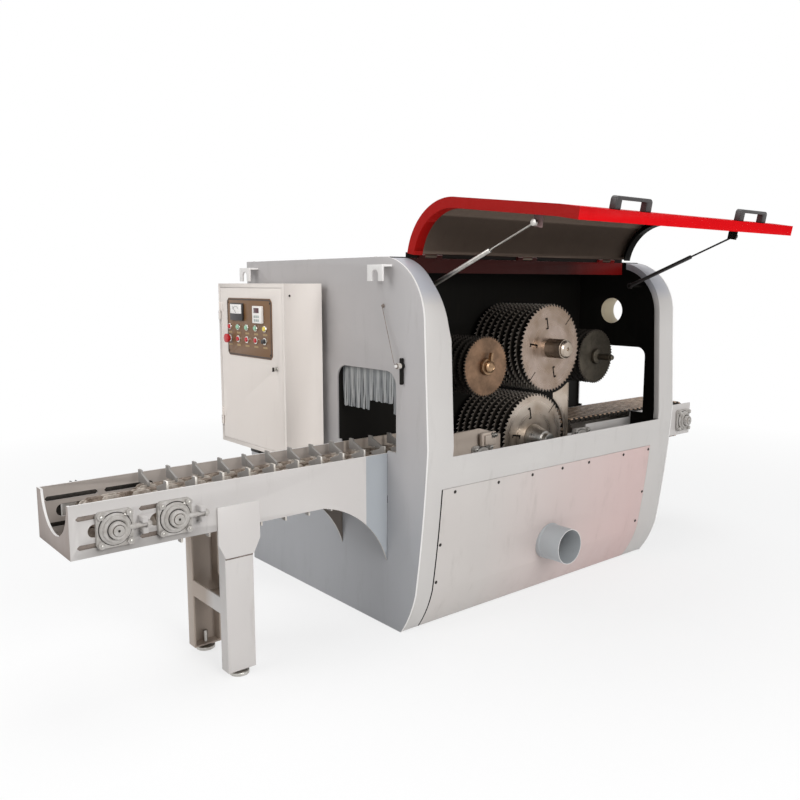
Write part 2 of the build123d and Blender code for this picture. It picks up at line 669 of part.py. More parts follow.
# Infeed trough: side plates with arches, raised at the head end, U-cut end board, cross ties, chain rails
# and notched take-up lugs
with BuildPart() as infeed_trough:
    for y in (TROUGH_Y[0] + TROUGH_PLATE, TROUGH_Y[1]):
        with BuildSketch(side_plane(y)):
            add(trough_side(INFEED_X, ENDS_X[0]))
            with BuildLine():
                Polyline((-480, TROUGH_Z[1]), (-440, 761), (-290, 766), (INFEED_X[1], 728),
                         (INFEED_X[1], TROUGH_Z[1]), close=True)
            make_face()
            for x in (IDLER_X, TAIL_X):
                with Locations((x - 18, SHAFT_Z)):
                    SlotOverall(126, 44, mode=Mode.SUBTRACT)
                with Locations((x - 27, SHAFT_Z + FLANGE_BOLT), (x - 27, SHAFT_Z - FLANGE_BOLT)):
                    add(bolt_slot(), mode=Mode.SUBTRACT)
            with Locations((HEAD_X, SHAFT_Z)):
                Circle(SHAFT_R + 3, mode=Mode.SUBTRACT)
        extrude(amount=TROUGH_PLATE)
    with BuildSketch(Plane.YZ.offset(INFEED_X[0])):
        with Locations((FEED_Y, sum(TROUGH_Z) / 2)):
            Rectangle(TROUGH_INNER[1] - TROUGH_INNER[0], TROUGH_Z[1] - TROUGH_Z[0])
        with Locations((FEED_Y - 14, 731)):
            Circle(131, mode=Mode.SUBTRACT)
    extrude(amount=TROUGH_PLATE)
    for x in (-1500, -1100, -700):
        block((x - 20, x + 20), TROUGH_INNER, TIE_Z)
    for y in (FEED_Y + STRAND_Y[0], FEED_Y, FEED_Y + STRAND_Y[1]):
        block((-1640, -350), (y - 6, y + 6), (TIE_Z[1], RAIL_TOP))
    for x in (IDLER_X, TAIL_X):
        lug_x = (x + TAKE_UP_LUG[0], x + TAKE_UP_LUG[1])
        for lug_y in ((TROUGH_Y[0] - 42, TROUGH_Y[0]), (TROUGH_Y[1], TROUGH_Y[1] + 42)):
            block(lug_x, lug_y, (SHAFT_Z - 26, SHAFT_Z + 26))
        for notch_y in ((TROUGH_Y[0] - 43, TROUGH_Y[0] - 15), (TROUGH_Y[1] + 15, TROUGH_Y[1] + 43)):
            block(lug_x, notch_y, (SHAFT_Z - 9, SHAFT_Z + 9), mode=Mode.SUBTRACT)
save(infeed_trough.part, "infeed_trough")

# Outfeed trough, its near plate cut down inside the housing
with BuildPart() as outfeed_trough:
    for y in (TROUGH_Y[0] + TROUGH_PLATE, TROUGH_Y[1]):
        with BuildSketch(side_plane(y)):
            add(trough_side(OUTFEED_X, ENDS_X[1]))
            with Locations((OUT_TAIL_X, SHAFT_Z), (OUT_HEAD_X, SHAFT_Z)):
                Circle(SHAFT_R + 3, mode=Mode.SUBTRACT)
        extrude(amount=TROUGH_PLATE)
    near_plate_y = (TROUGH_Y[0] - 1, TROUGH_INNER[0] + 1)
    block((OUTFEED_X[0], 453), near_plate_y, (672, TROUGH_Z[1]), mode=Mode.SUBTRACT)
    block((453, INNER_X[1]), near_plate_y, (703, TROUGH_Z[1]), mode=Mode.SUBTRACT)
    for x in (600, 1050):
        block((x - 20, x + 20), TROUGH_INNER, TIE_Z)
    block((430, 1240), (FEED_Y - 6, FEED_Y + 6), (TIE_Z[1], SHAFT_Z + MAT_R - LINK_H / 2 - 0.5))
save(outfeed_trough.part, "outfeed_trough")

# Riving plate behind the near blades, bolted to the outfeed trough
RIVING_X = (190, 305)
RIVING_Z = (640, 925)
RIVING_GAP = 8
with BuildPart() as riving_plate:
    with BuildSketch(side_plane(TROUGH_Y[0])):
        with Locations((sum(RIVING_X) / 2, sum(RIVING_Z) / 2)):
            Rectangle(RIVING_X[1] - RIVING_X[0], RIVING_Z[1] - RIVING_Z[0])
        with Locations(UPPER_ARBOR, LOWER_ARBOR):
            Circle(BLADE_R + RIVING_GAP, mode=Mode.SUBTRACT)
    extrude(amount=BLADE_T)
save(riving_plate.part, "riving_plate")


def loop_places(x_span, count, first=0.0, radius=CHAIN_R):
    """Places of evenly spaced links round a chain loop, as (x, z, heading in degrees)."""
    run = x_span[1] - x_span[0]
    half_turn = pi * radius
    total = 2 * run + 2 * half_turn
    places = []
    for k in range(count):
        s = (first + k * total / count) % total
        if s < run:
            places.append((x_span[0] + s, SHAFT_Z + radius, 0.0))
        elif s < run + half_turn:
            a = (s - run) / radius
            places.append((x_span[1] + radius * sin(a), SHAFT_Z + radius * cos(a), -degrees(a)))
        elif s < 2 * run + half_turn:
            places.append((x_span[1] - (s - run - half_turn), SHAFT_Z - radius, 180.0))
        else:
            a = (s - 2 * run - half_turn) / radius
            places.append((x_span[0] - radius * sin(a), SHAFT_Z - radius * cos(a), 180 - degrees(a)))
    return places


def locations(places):
    """Sketch locations on a side plane from loop places."""
    return Locations(*[Location((x, z), turn) for x, z, turn in places])


LINK_INNER = 9
LINK_PLATE = 5
LINK_SIDE_GAP = 0.3


def chain_strand(places, y):
    """One strand: inner links as blocks and outer links as plate pairs, turn by turn."""
    length = CHAIN_PITCH + 12
    with BuildPart() as strand:
        with BuildSketch(side_plane(y + LINK_INNER)):
            with locations(places[::2]):
                Rectangle(length, LINK_H)
        extrude(amount=2 * LINK_INNER)
        for plate_y in (y + LINK_INNER + LINK_SIDE_GAP + LINK_PLATE, y - LINK_INNER - LINK_SIDE_GAP):
            with BuildSketch(side_plane(plate_y)):
                with locations(places[1::2]):
                    Rectangle(length, LINK_H)
            extrude(amount=LINK_PLATE)
    return strand.part


# Plain centre chain, from the idler shaft to the head shaft
PLAIN_LINKS = 70
save(chain_strand(loop_places((IDLER_X, HEAD_X), PLAIN_LINKS), FEED_Y), "plain_chain")

# Flight chains: two strands from the tail shaft to the head shaft
FLIGHT_LINKS = 62
flight_places = loop_places((TAIL_X, HEAD_X), FLIGHT_LINKS, first=CHAIN_PITCH)
with BuildPart() as flight_chain:
    for strand_y in STRAND_Y:
        add(chain_strand(flight_places, FEED_Y + strand_y))
save(flight_chain.part, "flight_chain")


def wing_face(side):
    """One wing of a V-flight in (y, height above the link's middle line)."""
    low = LINK_H / 2
    top = FLIGHT_TOP - SHAFT_Z - CHAIN_R
    valley = top - 32
    outer = FEED_Y + side * FLIGHT_HALF
    inner = FEED_Y + side * 36
    with BuildSketch() as wing:
        with BuildLine():
            Polyline((outer, low), (outer, top), (outer - side * 34, top), (inner, valley), (inner, low),
                     close=True)
        make_face()
    return wing.sketch


# V-flights: two wing plates on every second link, one on each strand
with BuildPart() as chain_flights:
    for x, z, turn in flight_places[1::2]:
        across = Plane(
            origin=(x, 0, z),
            x_dir=(0, 1, 0),
            z_dir=(cos(radians(turn)), 0, sin(radians(turn))),
        )
        with BuildSketch(across.offset(-FLIGHT_T / 2)):
            for wing_side in (-1, 1):
                add(wing_face(wing_side))
        extrude(amount=FLIGHT_T)
save(chain_flights.part, "chain_flights")

# Outfeed chain mat: cross slats round the outfeed shafts
SLAT_COUNT = 62
with BuildPart() as outfeed_chain:
    with BuildSketch(side_plane(FEED_Y + 125)):
        with locations(loop_places((OUT_TAIL_X, OUT_HEAD_X), SLAT_COUNT, radius=MAT_R)):
            Rectangle(30, LINK_H)
    extrude(amount=250)
save(outfeed_chain.part, "outfeed_chain")


def conveyor_shaft(x, y_span, sprockets, sprocket_r=SPROCKET_R, far_wheel=False):
    """A conveyor shaft with its sprockets, and a large outer sprocket on request."""
    with BuildPart() as shaft:
        bar_y(x, y_span, SHAFT_Z, SHAFT_R)
        for y in sprockets:
            with BuildSketch(side_plane(y + 6)):
                with Locations((x, SHAFT_Z)):
                    add(toothed_disc(sprocket_r, round(sprocket_r / 4.3), 8))
            extrude(amount=12)
        if far_wheel:
            with BuildSketch(side_plane(y_span[1] - 4)):
                with Locations((x, SHAFT_Z)):
                    add(toothed_disc(FAR_WHEEL_R, 26, 8))
            extrude(amount=10)
    return shaft.part


STRANDS = (FEED_Y + STRAND_Y[0], FEED_Y + STRAND_Y[1])
NEAR_SHAFT_END = TROUGH_Y[0] - 50
FAR_SHAFT_END = TROUGH_Y[1] + 50
DRIVEN_SHAFT_END = GEAR_Y[1] - 30
save(conveyor_shaft(IDLER_X, (NEAR_SHAFT_END, -44), (FEED_Y,), far_wheel=True), "idler_shaft")
save(conveyor_shaft(TAIL_X, (NEAR_SHAFT_END, FAR_SHAFT_END), STRANDS), "tail_shaft")
save(conveyor_shaft(HEAD_X, (NEAR_SHAFT_END, DRIVEN_SHAFT_END), (FEED_Y, *STRANDS)), "head_shaft")
save(conveyor_shaft(OUT_TAIL_X, (NEAR_SHAFT_END, DRIVEN_SHAFT_END), STRANDS, MAT_SPROCKET_R),
     "outfeed_tail_shaft")
save(conveyor_shaft(OUT_HEAD_X, (NEAR_SHAFT_END, FAR_SHAFT_END), STRANDS, MAT_SPROCKET_R),
     "outfeed_head_shaft")


def flange_bearing(x, wall_y, side):
    """A square flange bearing on a trough wall; side is -1 on the near wall and 1 on the far wall."""
    face = wall_y + side * 0.2
    steps = [face + side * depth for depth in (0, 14, 30, 46)]
    with BuildPart() as unit:
        with BuildSketch(side_plane(max(steps[:2]))) as flange:
            with Locations((x, SHAFT_Z)):
                Rectangle(FLANGE, FLANGE)
            chamfer(flange.vertices(), 10)
        extrude(amount=14)
        bar_y(x, sorted(steps[1:3]), SHAFT_Z, 42)
        bar_y(x, sorted(steps[2:4]), SHAFT_Z, 28)
        bar_y(x, (min(steps) - 1, max(steps) + 1), SHAFT_Z, SHAFT_R + RUN_FIT, mode=Mode.SUBTRACT)
    return unit.part


# Take-up bearings of the idler and tail shafts, with their adjusting screws
for name, x in (("idler", IDLER_X), ("tail", TAIL_X)):
    with BuildPart() as bearing_units:
        add(flange_bearing(x, TROUGH_Y[0], -1))
        add(flange_bearing(x, TROUGH_Y[1], 1))
        for y in (TROUGH_Y[0] - 24, TROUGH_Y[1] + 24):
            bar_x((x + 40, x + TAKE_UP_LUG[1] + 18), y, SHAFT_Z, 8)
            with BuildSketch(Plane.YZ.offset(x + TAKE_UP_LUG[1] + 1)):
                with Locations((y, SHAFT_Z)):
                    RegularPolygon(14, 6)
            extrude(amount=11)
    save(bearing_units.part, f"{name}_bearing_units")

# Fixed flange bearings of the head and outfeed shafts
with BuildPart() as fixed_bearing_units:
    for x in (HEAD_X, OUT_TAIL_X):
        add(flange_bearing(x, TROUGH_Y[0], -1))
        bar_y(x, (TROUGH_Y[1], TROUGH_Y[1] + 26), SHAFT_Z, 42)
        bar_y(x, (TROUGH_Y[1] - 1, TROUGH_Y[1] + 27), SHAFT_Z, SHAFT_R + RUN_FIT, mode=Mode.SUBTRACT)
    add(flange_bearing(OUT_HEAD_X, TROUGH_Y[0], -1))
    add(flange_bearing(OUT_HEAD_X, TROUGH_Y[1], 1))
save(fixed_bearing_units.part, "fixed_bearing_units")

# Stand: gusset plates, two channel posts with foot plates and a crossbar
GUSSET_TOP = 635
GUSSET_LOW = 447
GUSSET_W = 163
CROSSBAR_Z = (230, 290)
with BuildPart() as infeed_stand:
    for wall, side in ((TROUGH_Y[0], -1), (TROUGH_Y[1], 1)):
        with BuildSketch(side_plane(wall if side < 0 else wall + PLATE)):
            with BuildLine():
                Polyline((STAND_X - GUSSET_W / 2, GUSSET_TOP), (STAND_X + GUSSET_W / 2, GUSSET_TOP),
                         (STAND_X + GUSSET_W / 2, GUSSET_LOW + 54), (STAND_X + POST_W / 2, GUSSET_LOW),
                         (STAND_X - POST_W / 2, GUSSET_LOW), (STAND_X - GUSSET_W / 2, GUSSET_LOW + 54),
                         close=True)
            make_face()
        extrude(amount=PLATE)
        inside = wall - side * POST_DEPTH
        post_y = sorted((wall, inside))
        post_x = (STAND_X - POST_W / 2, STAND_X + POST_W / 2)
        block(post_x, post_y, (POST_BOTTOM, TROUGH_Z[0]))
        hollow_y = sorted((wall - side * POST_WALL, inside - side))
        hollow_x = (post_x[0] + POST_WALL, post_x[1] - POST_WALL)
        block(hollow_x, hollow_y, (POST_BOTTOM + POST_WALL, TROUGH_Z[0] + 1), mode=Mode.SUBTRACT)
        with Locations((STAND_X, (wall + inside) / 2, POST_BOTTOM)):
            Cylinder(8 + RUN_FIT, 40, mode=Mode.SUBTRACT)
    bar_x_span = (STAND_X - POST_W / 2, STAND_X + POST_W / 2)
    bar_y_span = (TROUGH_Y[0] + POST_DEPTH, TROUGH_Y[1] - POST_DEPTH)
    block(bar_x_span, bar_y_span, CROSSBAR_Z)
    block((bar_x_span[0] + POST_WALL, bar_x_span[1] - POST_WALL), bar_y_span,
          (CROSSBAR_Z[0] + POST_WALL, CROSSBAR_Z[1] + 1), mode=Mode.SUBTRACT)
save(infeed_stand.part, "infeed_stand")

# Levelling feet: a round pad on a threaded stem
for name, y in (("near", TROUGH_Y[0] + POST_DEPTH / 2), ("far", TROUGH_Y[1] - POST_DEPTH / 2)):
    with BuildPart() as levelling_foot:
        with Locations((STAND_X, y, FOOT_PAD / 2)):
            Cylinder(FOOT_R, FOOT_PAD)
        with Locations((STAND_X, y, 40)):
            Cylinder(8, 60)
    save(levelling_foot.part, f"{name}_levelling_foot")

# Strip curtain inside the infeed opening
STRIPS = 8
with BuildPart() as strip_curtain:
    bar_y(CURTAIN_ROD[0], CURTAIN_Y, CURTAIN_ROD[1], CURTAIN_ROD_R)
    pitch = (376 - 4) / STRIPS
    for k in range(STRIPS):
        left = -473 + k * pitch
        strip_x = (CURTAIN_ROD[0] - 1.5, CURTAIN_ROD[0] + 1.5)
        block(strip_x, (left, left + pitch - 3), (880, CURTAIN_ROD[1] - 2))
save(strip_curtain.part, "strip_curtain")

# Swing lever on its peg
with BuildPart() as swing_lever:
    with BuildSketch(Plane.YZ.offset(ENDS_X[0] - 14)):
        with Locations(LEVER_PIVOT):
            Circle(13)
        with Locations((LEVER_PIVOT[0], LEVER_PIVOT[1] - 21.5)):
            RectangleRounded(13, 103, 5)
        with Locations(LEVER_PIVOT):
            Circle(LEVER_PEG_R + RUN_FIT, mode=Mode.SUBTRACT)
    extrude(amount=11.5)
save(swing_lever.part, "swing_lever")

# Cabinet box on stand-offs, with a folded frame round the door and hinge pins on the frame
DOOR_Y = (CABINET_Y[0] + CABINET_FRAME, CABINET_Y[1] - CABINET_FRAME)
DOOR_Z = (CABINET_Z[0] + CABINET_FRAME, CABINET_Z[1] - CABINET_FRAME)
DOOR_HINGE = (DOOR_FRONT - 5, DOOR_Y[1] - DOOR_GAP / 2)
HINGE_LEVELS = (780, 1270)
LEAF_X = (DOOR_FRONT - 3, DOOR_FRONT)
with BuildPart() as cabinet_box:
    block(CABINET_X, CABINET_Y, CABINET_Z)
    w = CABINET_WALL
    block((CABINET_X[0] + w, CABINET_X[1] - w), (CABINET_Y[0] + w, CABINET_Y[1] - w),
          (CABINET_Z[0] + w, CABINET_Z[1] - w), mode=Mode.SUBTRACT)
    block((CABINET_X[0] - 1, CABINET_X[0] + w + 1), DOOR_Y, DOOR_Z, mode=Mode.SUBTRACT)
    for y in (CABINET_Y[0] + 60, CABINET_Y[1] - 60):
        for z in (CABINET_Z[0] + 60, CABINET_Z[1] - 60):
            block((CABINET_X[1], ENDS_X[0]), (y - 14, y + 14), (z - 14, z + 14))
    for z in HINGE_LEVELS:
        block(LEAF_X, (DOOR_HINGE[1] + 1, CABINET_Y[1]), (z - 40, z - 0.5))
        with Locations((*DOOR_HINGE, z - 20.25)):
            Cylinder(4.6, 39.5)
        with Locations((*DOOR_HINGE, z + 10)):
            Cylinder(2.6, 60)
save(cabinet_box.part, "cabinet_box")

# Cabinet door: a folded pan flush in the frame, with hinge leaves, cut out behind the control panel
# and bored for the lock
DOOR_LOCK = (49, 1038)
PANEL_Y = (80, 474)
PANEL_Z = (1073, 1332)
BUTTONS = [(y, BUTTON_ROW_Z) for y in COLUMNS_Y]
with BuildPart() as cabinet_door:
    pan_y = (DOOR_Y[0] + DOOR_GAP, DOOR_Y[1] - DOOR_GAP)
    pan_z = (DOOR_Z[0] + DOOR_GAP, DOOR_Z[1] - DOOR_GAP)
    block((DOOR_FRONT, DOOR_FRONT + DOOR_DEPTH), pan_y, pan_z)
    block((DOOR_FRONT + w, DOOR_FRONT + DOOR_DEPTH + 1), (pan_y[0] + w, pan_y[1] - w),
          (pan_z[0] + w, pan_z[1] - w), mode=Mode.SUBTRACT)
    for z in HINGE_LEVELS:
        block(LEAF_X, (DOOR_HINGE[1] - 22, DOOR_HINGE[1]), (z, z + 40))
        with Locations((*DOOR_HINGE, z + 20)):
            Cylinder(4.6, 40)
            Cylinder(2.6 + RUN_FIT, 42, mode=Mode.SUBTRACT)
    cut_out_y = (PANEL_Y[0] + 16, PANEL_Y[1] - 8)
    cut_out_z = (PANEL_Z[0] + 20, PANEL_Z[1] - 20)
    block((DOOR_FRONT - 1, DOOR_FRONT + 5), cut_out_y, cut_out_z, mode=Mode.SUBTRACT)
    bar_x((DOOR_FRONT - 1, DOOR_FRONT + 5), *DOOR_LOCK, BUTTON_R + RUN_FIT, mode=Mode.SUBTRACT)
save(cabinet_door.part, "cabinet_door")

# Control panel plate, bored for the buttons and the selector
with BuildPart() as control_panel:
    block((PANEL_FRONT, DOOR_FRONT), PANEL_Y, PANEL_Z)
    chamfer(control_panel.edges().filter_by(Axis.X), 14)
    for y, z in BUTTONS:
        bar_x((PANEL_FRONT - 1, DOOR_FRONT + 1), y, z, BUTTON_R + RUN_FIT, mode=Mode.SUBTRACT)
save(control_panel.part, "control_panel")

# Instruments on the panel: ammeter, keypad display and pilot lamps
with BuildPart() as panel_instruments:
    block((PANEL_FRONT - 10, PANEL_FRONT), (318, 430), (1232, 1309))
    block((PANEL_FRONT - 14, PANEL_FRONT), (146, 221), (1226, 1300))
    for y in COLUMNS_Y:
        bar_x((PANEL_FRONT - 12, PANEL_FRONT), y, LAMP_ROW_Z, 13)
save(panel_instruments.part, "panel_instruments")

# Emergency stop, push buttons, selector and door lock
STEM_BACK = DOOR_FRONT + 11
with BuildPart() as emergency_stop:
    bar_x((PANEL_FRONT - 14, STEM_BACK), *BUTTONS[0], BUTTON_R)
    bar_x((PANEL_FRONT - 26, PANEL_FRONT - 13), *BUTTONS[0], 20)
save(emergency_stop.part, "emergency_stop")

for k in (1, 2, 3):
    with BuildPart() as stop_button:
        bar_x((PANEL_FRONT - 10, STEM_BACK), *BUTTONS[k], BUTTON_R)
    save(stop_button.part, f"stop_button_{k}")

with BuildPart() as selector_knob:
    bar_x((PANEL_FRONT - 9, STEM_BACK), *BUTTONS[4], BUTTON_R)
    knob_y, knob_z = BUTTONS[4]
    block((PANEL_FRONT - 20, PANEL_FRONT - 6), (knob_y - 4, knob_y + 4), (knob_z - 9, knob_z + 9))
save(selector_knob.part, "selector_knob")

with BuildPart() as door_lock:
    bar_x((DOOR_FRONT - 6, STEM_BACK), *DOOR_LOCK, BUTTON_R)
    tongue_y = (DOOR_LOCK[0] - 26, DOOR_LOCK[0] + 8)
    block((STEM_BACK - 4, STEM_BACK), tongue_y, (DOOR_LOCK[1] - 8, DOOR_LOCK[1] + 8))
save(door_lock.part, "door_lock")
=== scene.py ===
"""Looks of a two-arbor multi-rip saw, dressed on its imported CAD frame.

Shapes are modelled in millimetres and brought to metres when a piece is finished.
"""
import json
from math import cos, degrees, hypot, pi, radians, sin

import bmesh
import bpy
from mathutils import Matrix, Vector
from mathutils.bvhtree import BVHTree

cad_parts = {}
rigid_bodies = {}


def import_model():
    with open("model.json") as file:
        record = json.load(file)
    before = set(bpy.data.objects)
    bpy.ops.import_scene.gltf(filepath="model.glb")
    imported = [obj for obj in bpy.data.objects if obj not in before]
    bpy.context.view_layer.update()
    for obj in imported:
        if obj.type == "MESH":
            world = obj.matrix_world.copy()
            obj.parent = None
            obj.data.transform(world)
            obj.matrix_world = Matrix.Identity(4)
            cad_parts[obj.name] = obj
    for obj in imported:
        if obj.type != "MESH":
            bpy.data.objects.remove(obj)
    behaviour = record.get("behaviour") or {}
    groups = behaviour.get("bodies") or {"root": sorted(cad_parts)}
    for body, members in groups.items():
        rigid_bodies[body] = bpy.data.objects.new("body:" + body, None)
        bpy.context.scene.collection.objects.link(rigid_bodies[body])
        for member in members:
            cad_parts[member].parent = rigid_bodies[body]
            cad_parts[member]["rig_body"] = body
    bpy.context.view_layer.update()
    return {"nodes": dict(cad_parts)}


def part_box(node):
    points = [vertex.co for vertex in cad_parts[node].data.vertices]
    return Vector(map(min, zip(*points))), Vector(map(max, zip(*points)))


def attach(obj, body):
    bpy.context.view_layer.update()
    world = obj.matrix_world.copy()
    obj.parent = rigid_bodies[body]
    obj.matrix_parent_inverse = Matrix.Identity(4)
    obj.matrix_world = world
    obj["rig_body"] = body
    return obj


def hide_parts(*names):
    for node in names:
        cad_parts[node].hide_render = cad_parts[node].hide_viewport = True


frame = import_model()
scene = bpy.context.scene
scene.view_settings.view_transform = "Standard"


# Colours and shader nodes

# Sockets of a Mix node in colour mode
SHARE, FROM, TO, MIXED = 0, 6, 7, 2


def linear(code):
    """An sRGB hex colour as linear RGBA."""
    shares = [int(code[k:k + 2], 16) / 255 for k in (0, 2, 4)]
    return (*[c / 12.92 if c <= 0.04045 else ((c + 0.055) / 1.055) ** 2.4 for c in shares], 1.0)


def per_mm(size):
    """Texture scale that gives features of this size in millimetres."""
    return 1000 / size


def feed(node, inputs):
    """Give each input of a node its value, or the socket that feeds it."""
    for name, value in inputs.items():
        if isinstance(value, bpy.types.NodeSocket):
            node.id_data.links.new(value, node.inputs[name])
        else:
            node.inputs[name].default_value = value


def add_node(tree, kind, inputs, out=0, **settings):
    """A shader node with its settings and inputs, as the output that feeds the next one."""
    node = tree.nodes.new(f"ShaderNode{kind}")
    for name, value in settings.items():
        setattr(node, name, value)
    feed(node, inputs)
    return node.outputs[out]


def start_material(name):
    """A material with its Principled shader, and the piece's own coordinates."""
    material = bpy.data.materials.new(name)
    material.use_nodes = True
    tree = material.node_tree
    shader = tree.nodes["Principled BSDF"]
    where = tree.nodes.new("ShaderNodeTexCoord").outputs["Object"]
    return material, tree, shader, where


def clouded(tree, where, size, light, dark, detail=3.0):
    """A colour that drifts between two shades, and the noise that it follows."""
    noise = add_node(tree, "TexNoise", {"Vector": where, "Scale": per_mm(size), "Detail": detail})
    shades = {SHARE: noise, FROM: linear(light), TO: linear(dark)}
    return add_node(tree, "Mix", shades, MIXED, data_type="RGBA"), noise


def filmed(tree, noise, bright, dull):
    """A bright colour under patches of a duller film, which follow a noise."""
    film = add_node(tree, "MapRange", {"Value": noise, "From Min": 0.35, "From Max": 0.65})
    shades = {SHARE: film, FROM: linear(bright), TO: linear(dull)}
    return add_node(tree, "Mix", shades, MIXED, data_type="RGBA")


def enamel(name, light, dark, roughness, grime="6E665C", grime_share=0.25, fade=None, specular=0.5):
    """Sprayed enamel: cloudy shade changes, orange peel in the highlights, faint dust stains.

    A fade tints the paint along an axis, as (axis, from mm, to mm, colour, share).
    """
    material, tree, shader, where = start_material(name)
    paint, _ = clouded(tree, where, 320, light, dark)
    if fade:
        axis, start, end, tint, share = fade
        along = add_node(tree, "SeparateXYZ", {"Vector": where}, axis)
        reach = add_node(tree, "MapRange", {"Value": along, "From Min": start / 1000, "From Max": end / 1000,
                                            "To Max": share})
        paint = add_node(tree, "Mix", {SHARE: reach, FROM: paint, TO: linear(tint)}, MIXED, data_type="RGBA")
    drawn_out = add_node(tree, "Mapping", {"Vector": where, "Scale": (1.0, 1.0, 0.18)})
    streak = add_node(tree, "TexNoise", {"Vector": drawn_out, "Scale": per_mm(60), "Detail": 6.0,
                                         "Roughness": 0.7})
    stain = add_node(tree, "MapRange", {"Value": streak, "From Min": 0.56, "From Max": 0.85,
                                        "To Max": grime_share})
    paint = add_node(tree, "Mix", {SHARE: stain, FROM: paint, TO: linear(grime)}, MIXED, data_type="RGBA")
    gloss = add_node(tree, "MapRange", {"Value": streak, "From Min": 0.3, "From Max": 0.7,
                                        "To Min": roughness - 0.06, "To Max": roughness + 0.1})
    # Orange peel is about 3 mm across; drawn at 5 mm so that it shows.
    peel = add_node(tree, "TexNoise", {"Vector": where, "Scale": per_mm(5), "Detail": 1.0})
    bump = add_node(tree, "Bump", {"Height": peel, "Strength": 0.06, "Distance": 0.001})
    feed(shader, {"Base Color": paint, "Roughness": gloss, "Normal": bump, "Specular IOR Level": specular})
    return material


def metal(name, bright, dull, roughness, grain_mm, metallic=1.0, pits=0.1):
    """Bare metal with a patchy film of rust or resin, and fine pits."""
    material, tree, shader, where = start_material(name)
    patch = add_node(tree, "TexNoise", {"Vector": where, "Scale": per_mm(grain_mm), "Detail": 5.0,
                                        "Roughness": 0.65})
    gloss = add_node(tree, "MapRange", {"Value": patch, "From Min": 0.3, "From Max": 0.7,
                                        "To Min": roughness - 0.1, "To Max": roughness + 0.15})
    grit = add_node(tree, "TexNoise", {"Vector": where, "Scale": per_mm(2.5), "Detail": 2.0})
    bump = add_node(tree, "Bump", {"Height": grit, "Strength": pits, "Distance": 0.001})
    feed(shader, {"Base Color": filmed(tree, patch, bright, dull), "Roughness": gloss, "Normal": bump,
                  "Metallic": metallic})
    return material


def ground_steel(name, bright, dull, centre, roughness):
    """Ground saw steel: rings about the arbor from the grinding wheel, with a warm resin haze."""
    material, tree, shader, where = start_material(name)
    x, z = centre
    about = add_node(tree, "Mapping", {"Vector": where, "Location": (-x / 1000, 0.0, -z / 1000)})
    rings = add_node(tree, "TexWave", {"Vector": about, "Scale": per_mm(180), "Distortion": 1.5,
                                       "Detail": 3.0, "Detail Scale": 3.0}, "Fac",
                     wave_type="RINGS", rings_direction="Y")
    haze = add_node(tree, "TexNoise", {"Vector": where, "Scale": per_mm(110), "Detail": 3.0})
    gloss = add_node(tree, "MapRange", {"Value": rings, "To Min": roughness - 0.07,
                                        "To Max": roughness + 0.07})
    bump = add_node(tree, "Bump", {"Height": rings, "Strength": 0.05, "Distance": 0.001})
    feed(shader, {"Base Color": filmed(tree, haze, bright, dull), "Roughness": gloss, "Normal": bump,
                  "Metallic": 0.85})
    return material


def plastic(name, colour, lighter, roughness, grain_mm=1.5):
    """Moulded plastic or rubber: even colour with a fine mould texture."""
    material, tree, shader, where = start_material(name)
    shade, grain = clouded(tree, where, grain_mm, colour, lighter, 2.0)
    bump = add_node(tree, "Bump", {"Height": grain, "Strength": 0.08, "Distance": 0.0005})
    feed(shader, {"Base Color": shade, "Normal": bump, "Roughness": roughness})
    return material


def vinyl(name, thin, thick):
    """Smoky soft vinyl: cloudy grey that lets a little light through, smooth and slightly glossy."""
    material, tree, shader, where = start_material(name)
    shade, _ = clouded(tree, where, 45, thin, thick)
    feed(shader, {"Base Color": shade, "Roughness": 0.3, "Transmission Weight": 0.25})
    return material


# Arbor axes, as (x, z)
UPPER_ARBOR = (165, 1097)
LOWER_ARBOR = (60, 686)

# Enamels and primers
housing_grey = enamel("light_grey_enamel", "C3C0BD", "BAB6B3", 0.42)
# The front skin's grey turns darker blue-grey over its upper curve, above z 1315 to 1375: painted shade.
skin_grey_painted_shade = enamel("front_skin_grey_enamel", "C3C0BD", "BAB6B3", 0.36, fade=("Z", 1315, 1375, "A4A6AE", 0.85))
# Pale enamel for scuffed edges, and also painted highlights on rims, lugs, top edges and the port's mouth.
pale_scuffs_and_painted_highlights = enamel("pale_enamel_scuffs_and_painted_highlights", "E4E2E0", "D6D3D0", 0.4, grime_share=0.15)
# The lower panel's grey turns pinker towards +X: a painted reflection.
panel_grey_painted_reflection = enamel("warm_grey_painted_reflection", "C4BFBB", "BCB6B2", 0.45, fade=("X", -450, 560, "CDB0AC", 0.85))
# The end plates' grey is a darker copy of the housing grey, and darker and bluer still towards the bottom:
# painted shade.
end_grey_painted_shade = enamel("end_plate_grey_painted_shade", "B1ADAC", "A7A4A4", 0.42, fade=("Z", 900, 400, "9B9DA1", 0.8))
trough_grey = enamel("trough_grey_enamel", "CCC8C5", "C2BDBA", 0.42)
# The stand's grey turns darker and browner towards the far side: painted shade.
stand_grey_painted_shade = enamel("stand_grey_enamel", "CCC8C5", "C2BDBA", 0.42, fade=("Y", -330, -260, "A6978A", 0.95))
trough_inside = enamel("dusty_grey_enamel", "A39A93", "8C827A", 0.6, "6A5B4C", 0.5)
port_grey = enamel("port_blue_grey_enamel", "B2B5B7", "A5A9AC", 0.4)
# Darker blue-grey for a strip of the trough's near plate next to the housing: painted shade.
near_plate_blue_painted_shade = enamel("blue_grey_enamel", "A6AAAE", "9CA0A5", 0.42)
dusty_tan = enamel("dusty_cream_enamel", "CBBEB2", "B7A89A", 0.55, "7A5C44", 0.6)
# The end board's darker brownish grey is painted shade.
end_board_grey_painted_shade = enamel("brownish_grey_painted_shade", "978C86", "887D77", 0.45)
lid_red = enamel("red_enamel", "CE060F", "BE050D", 0.5, "7A0608", specular=0.05)
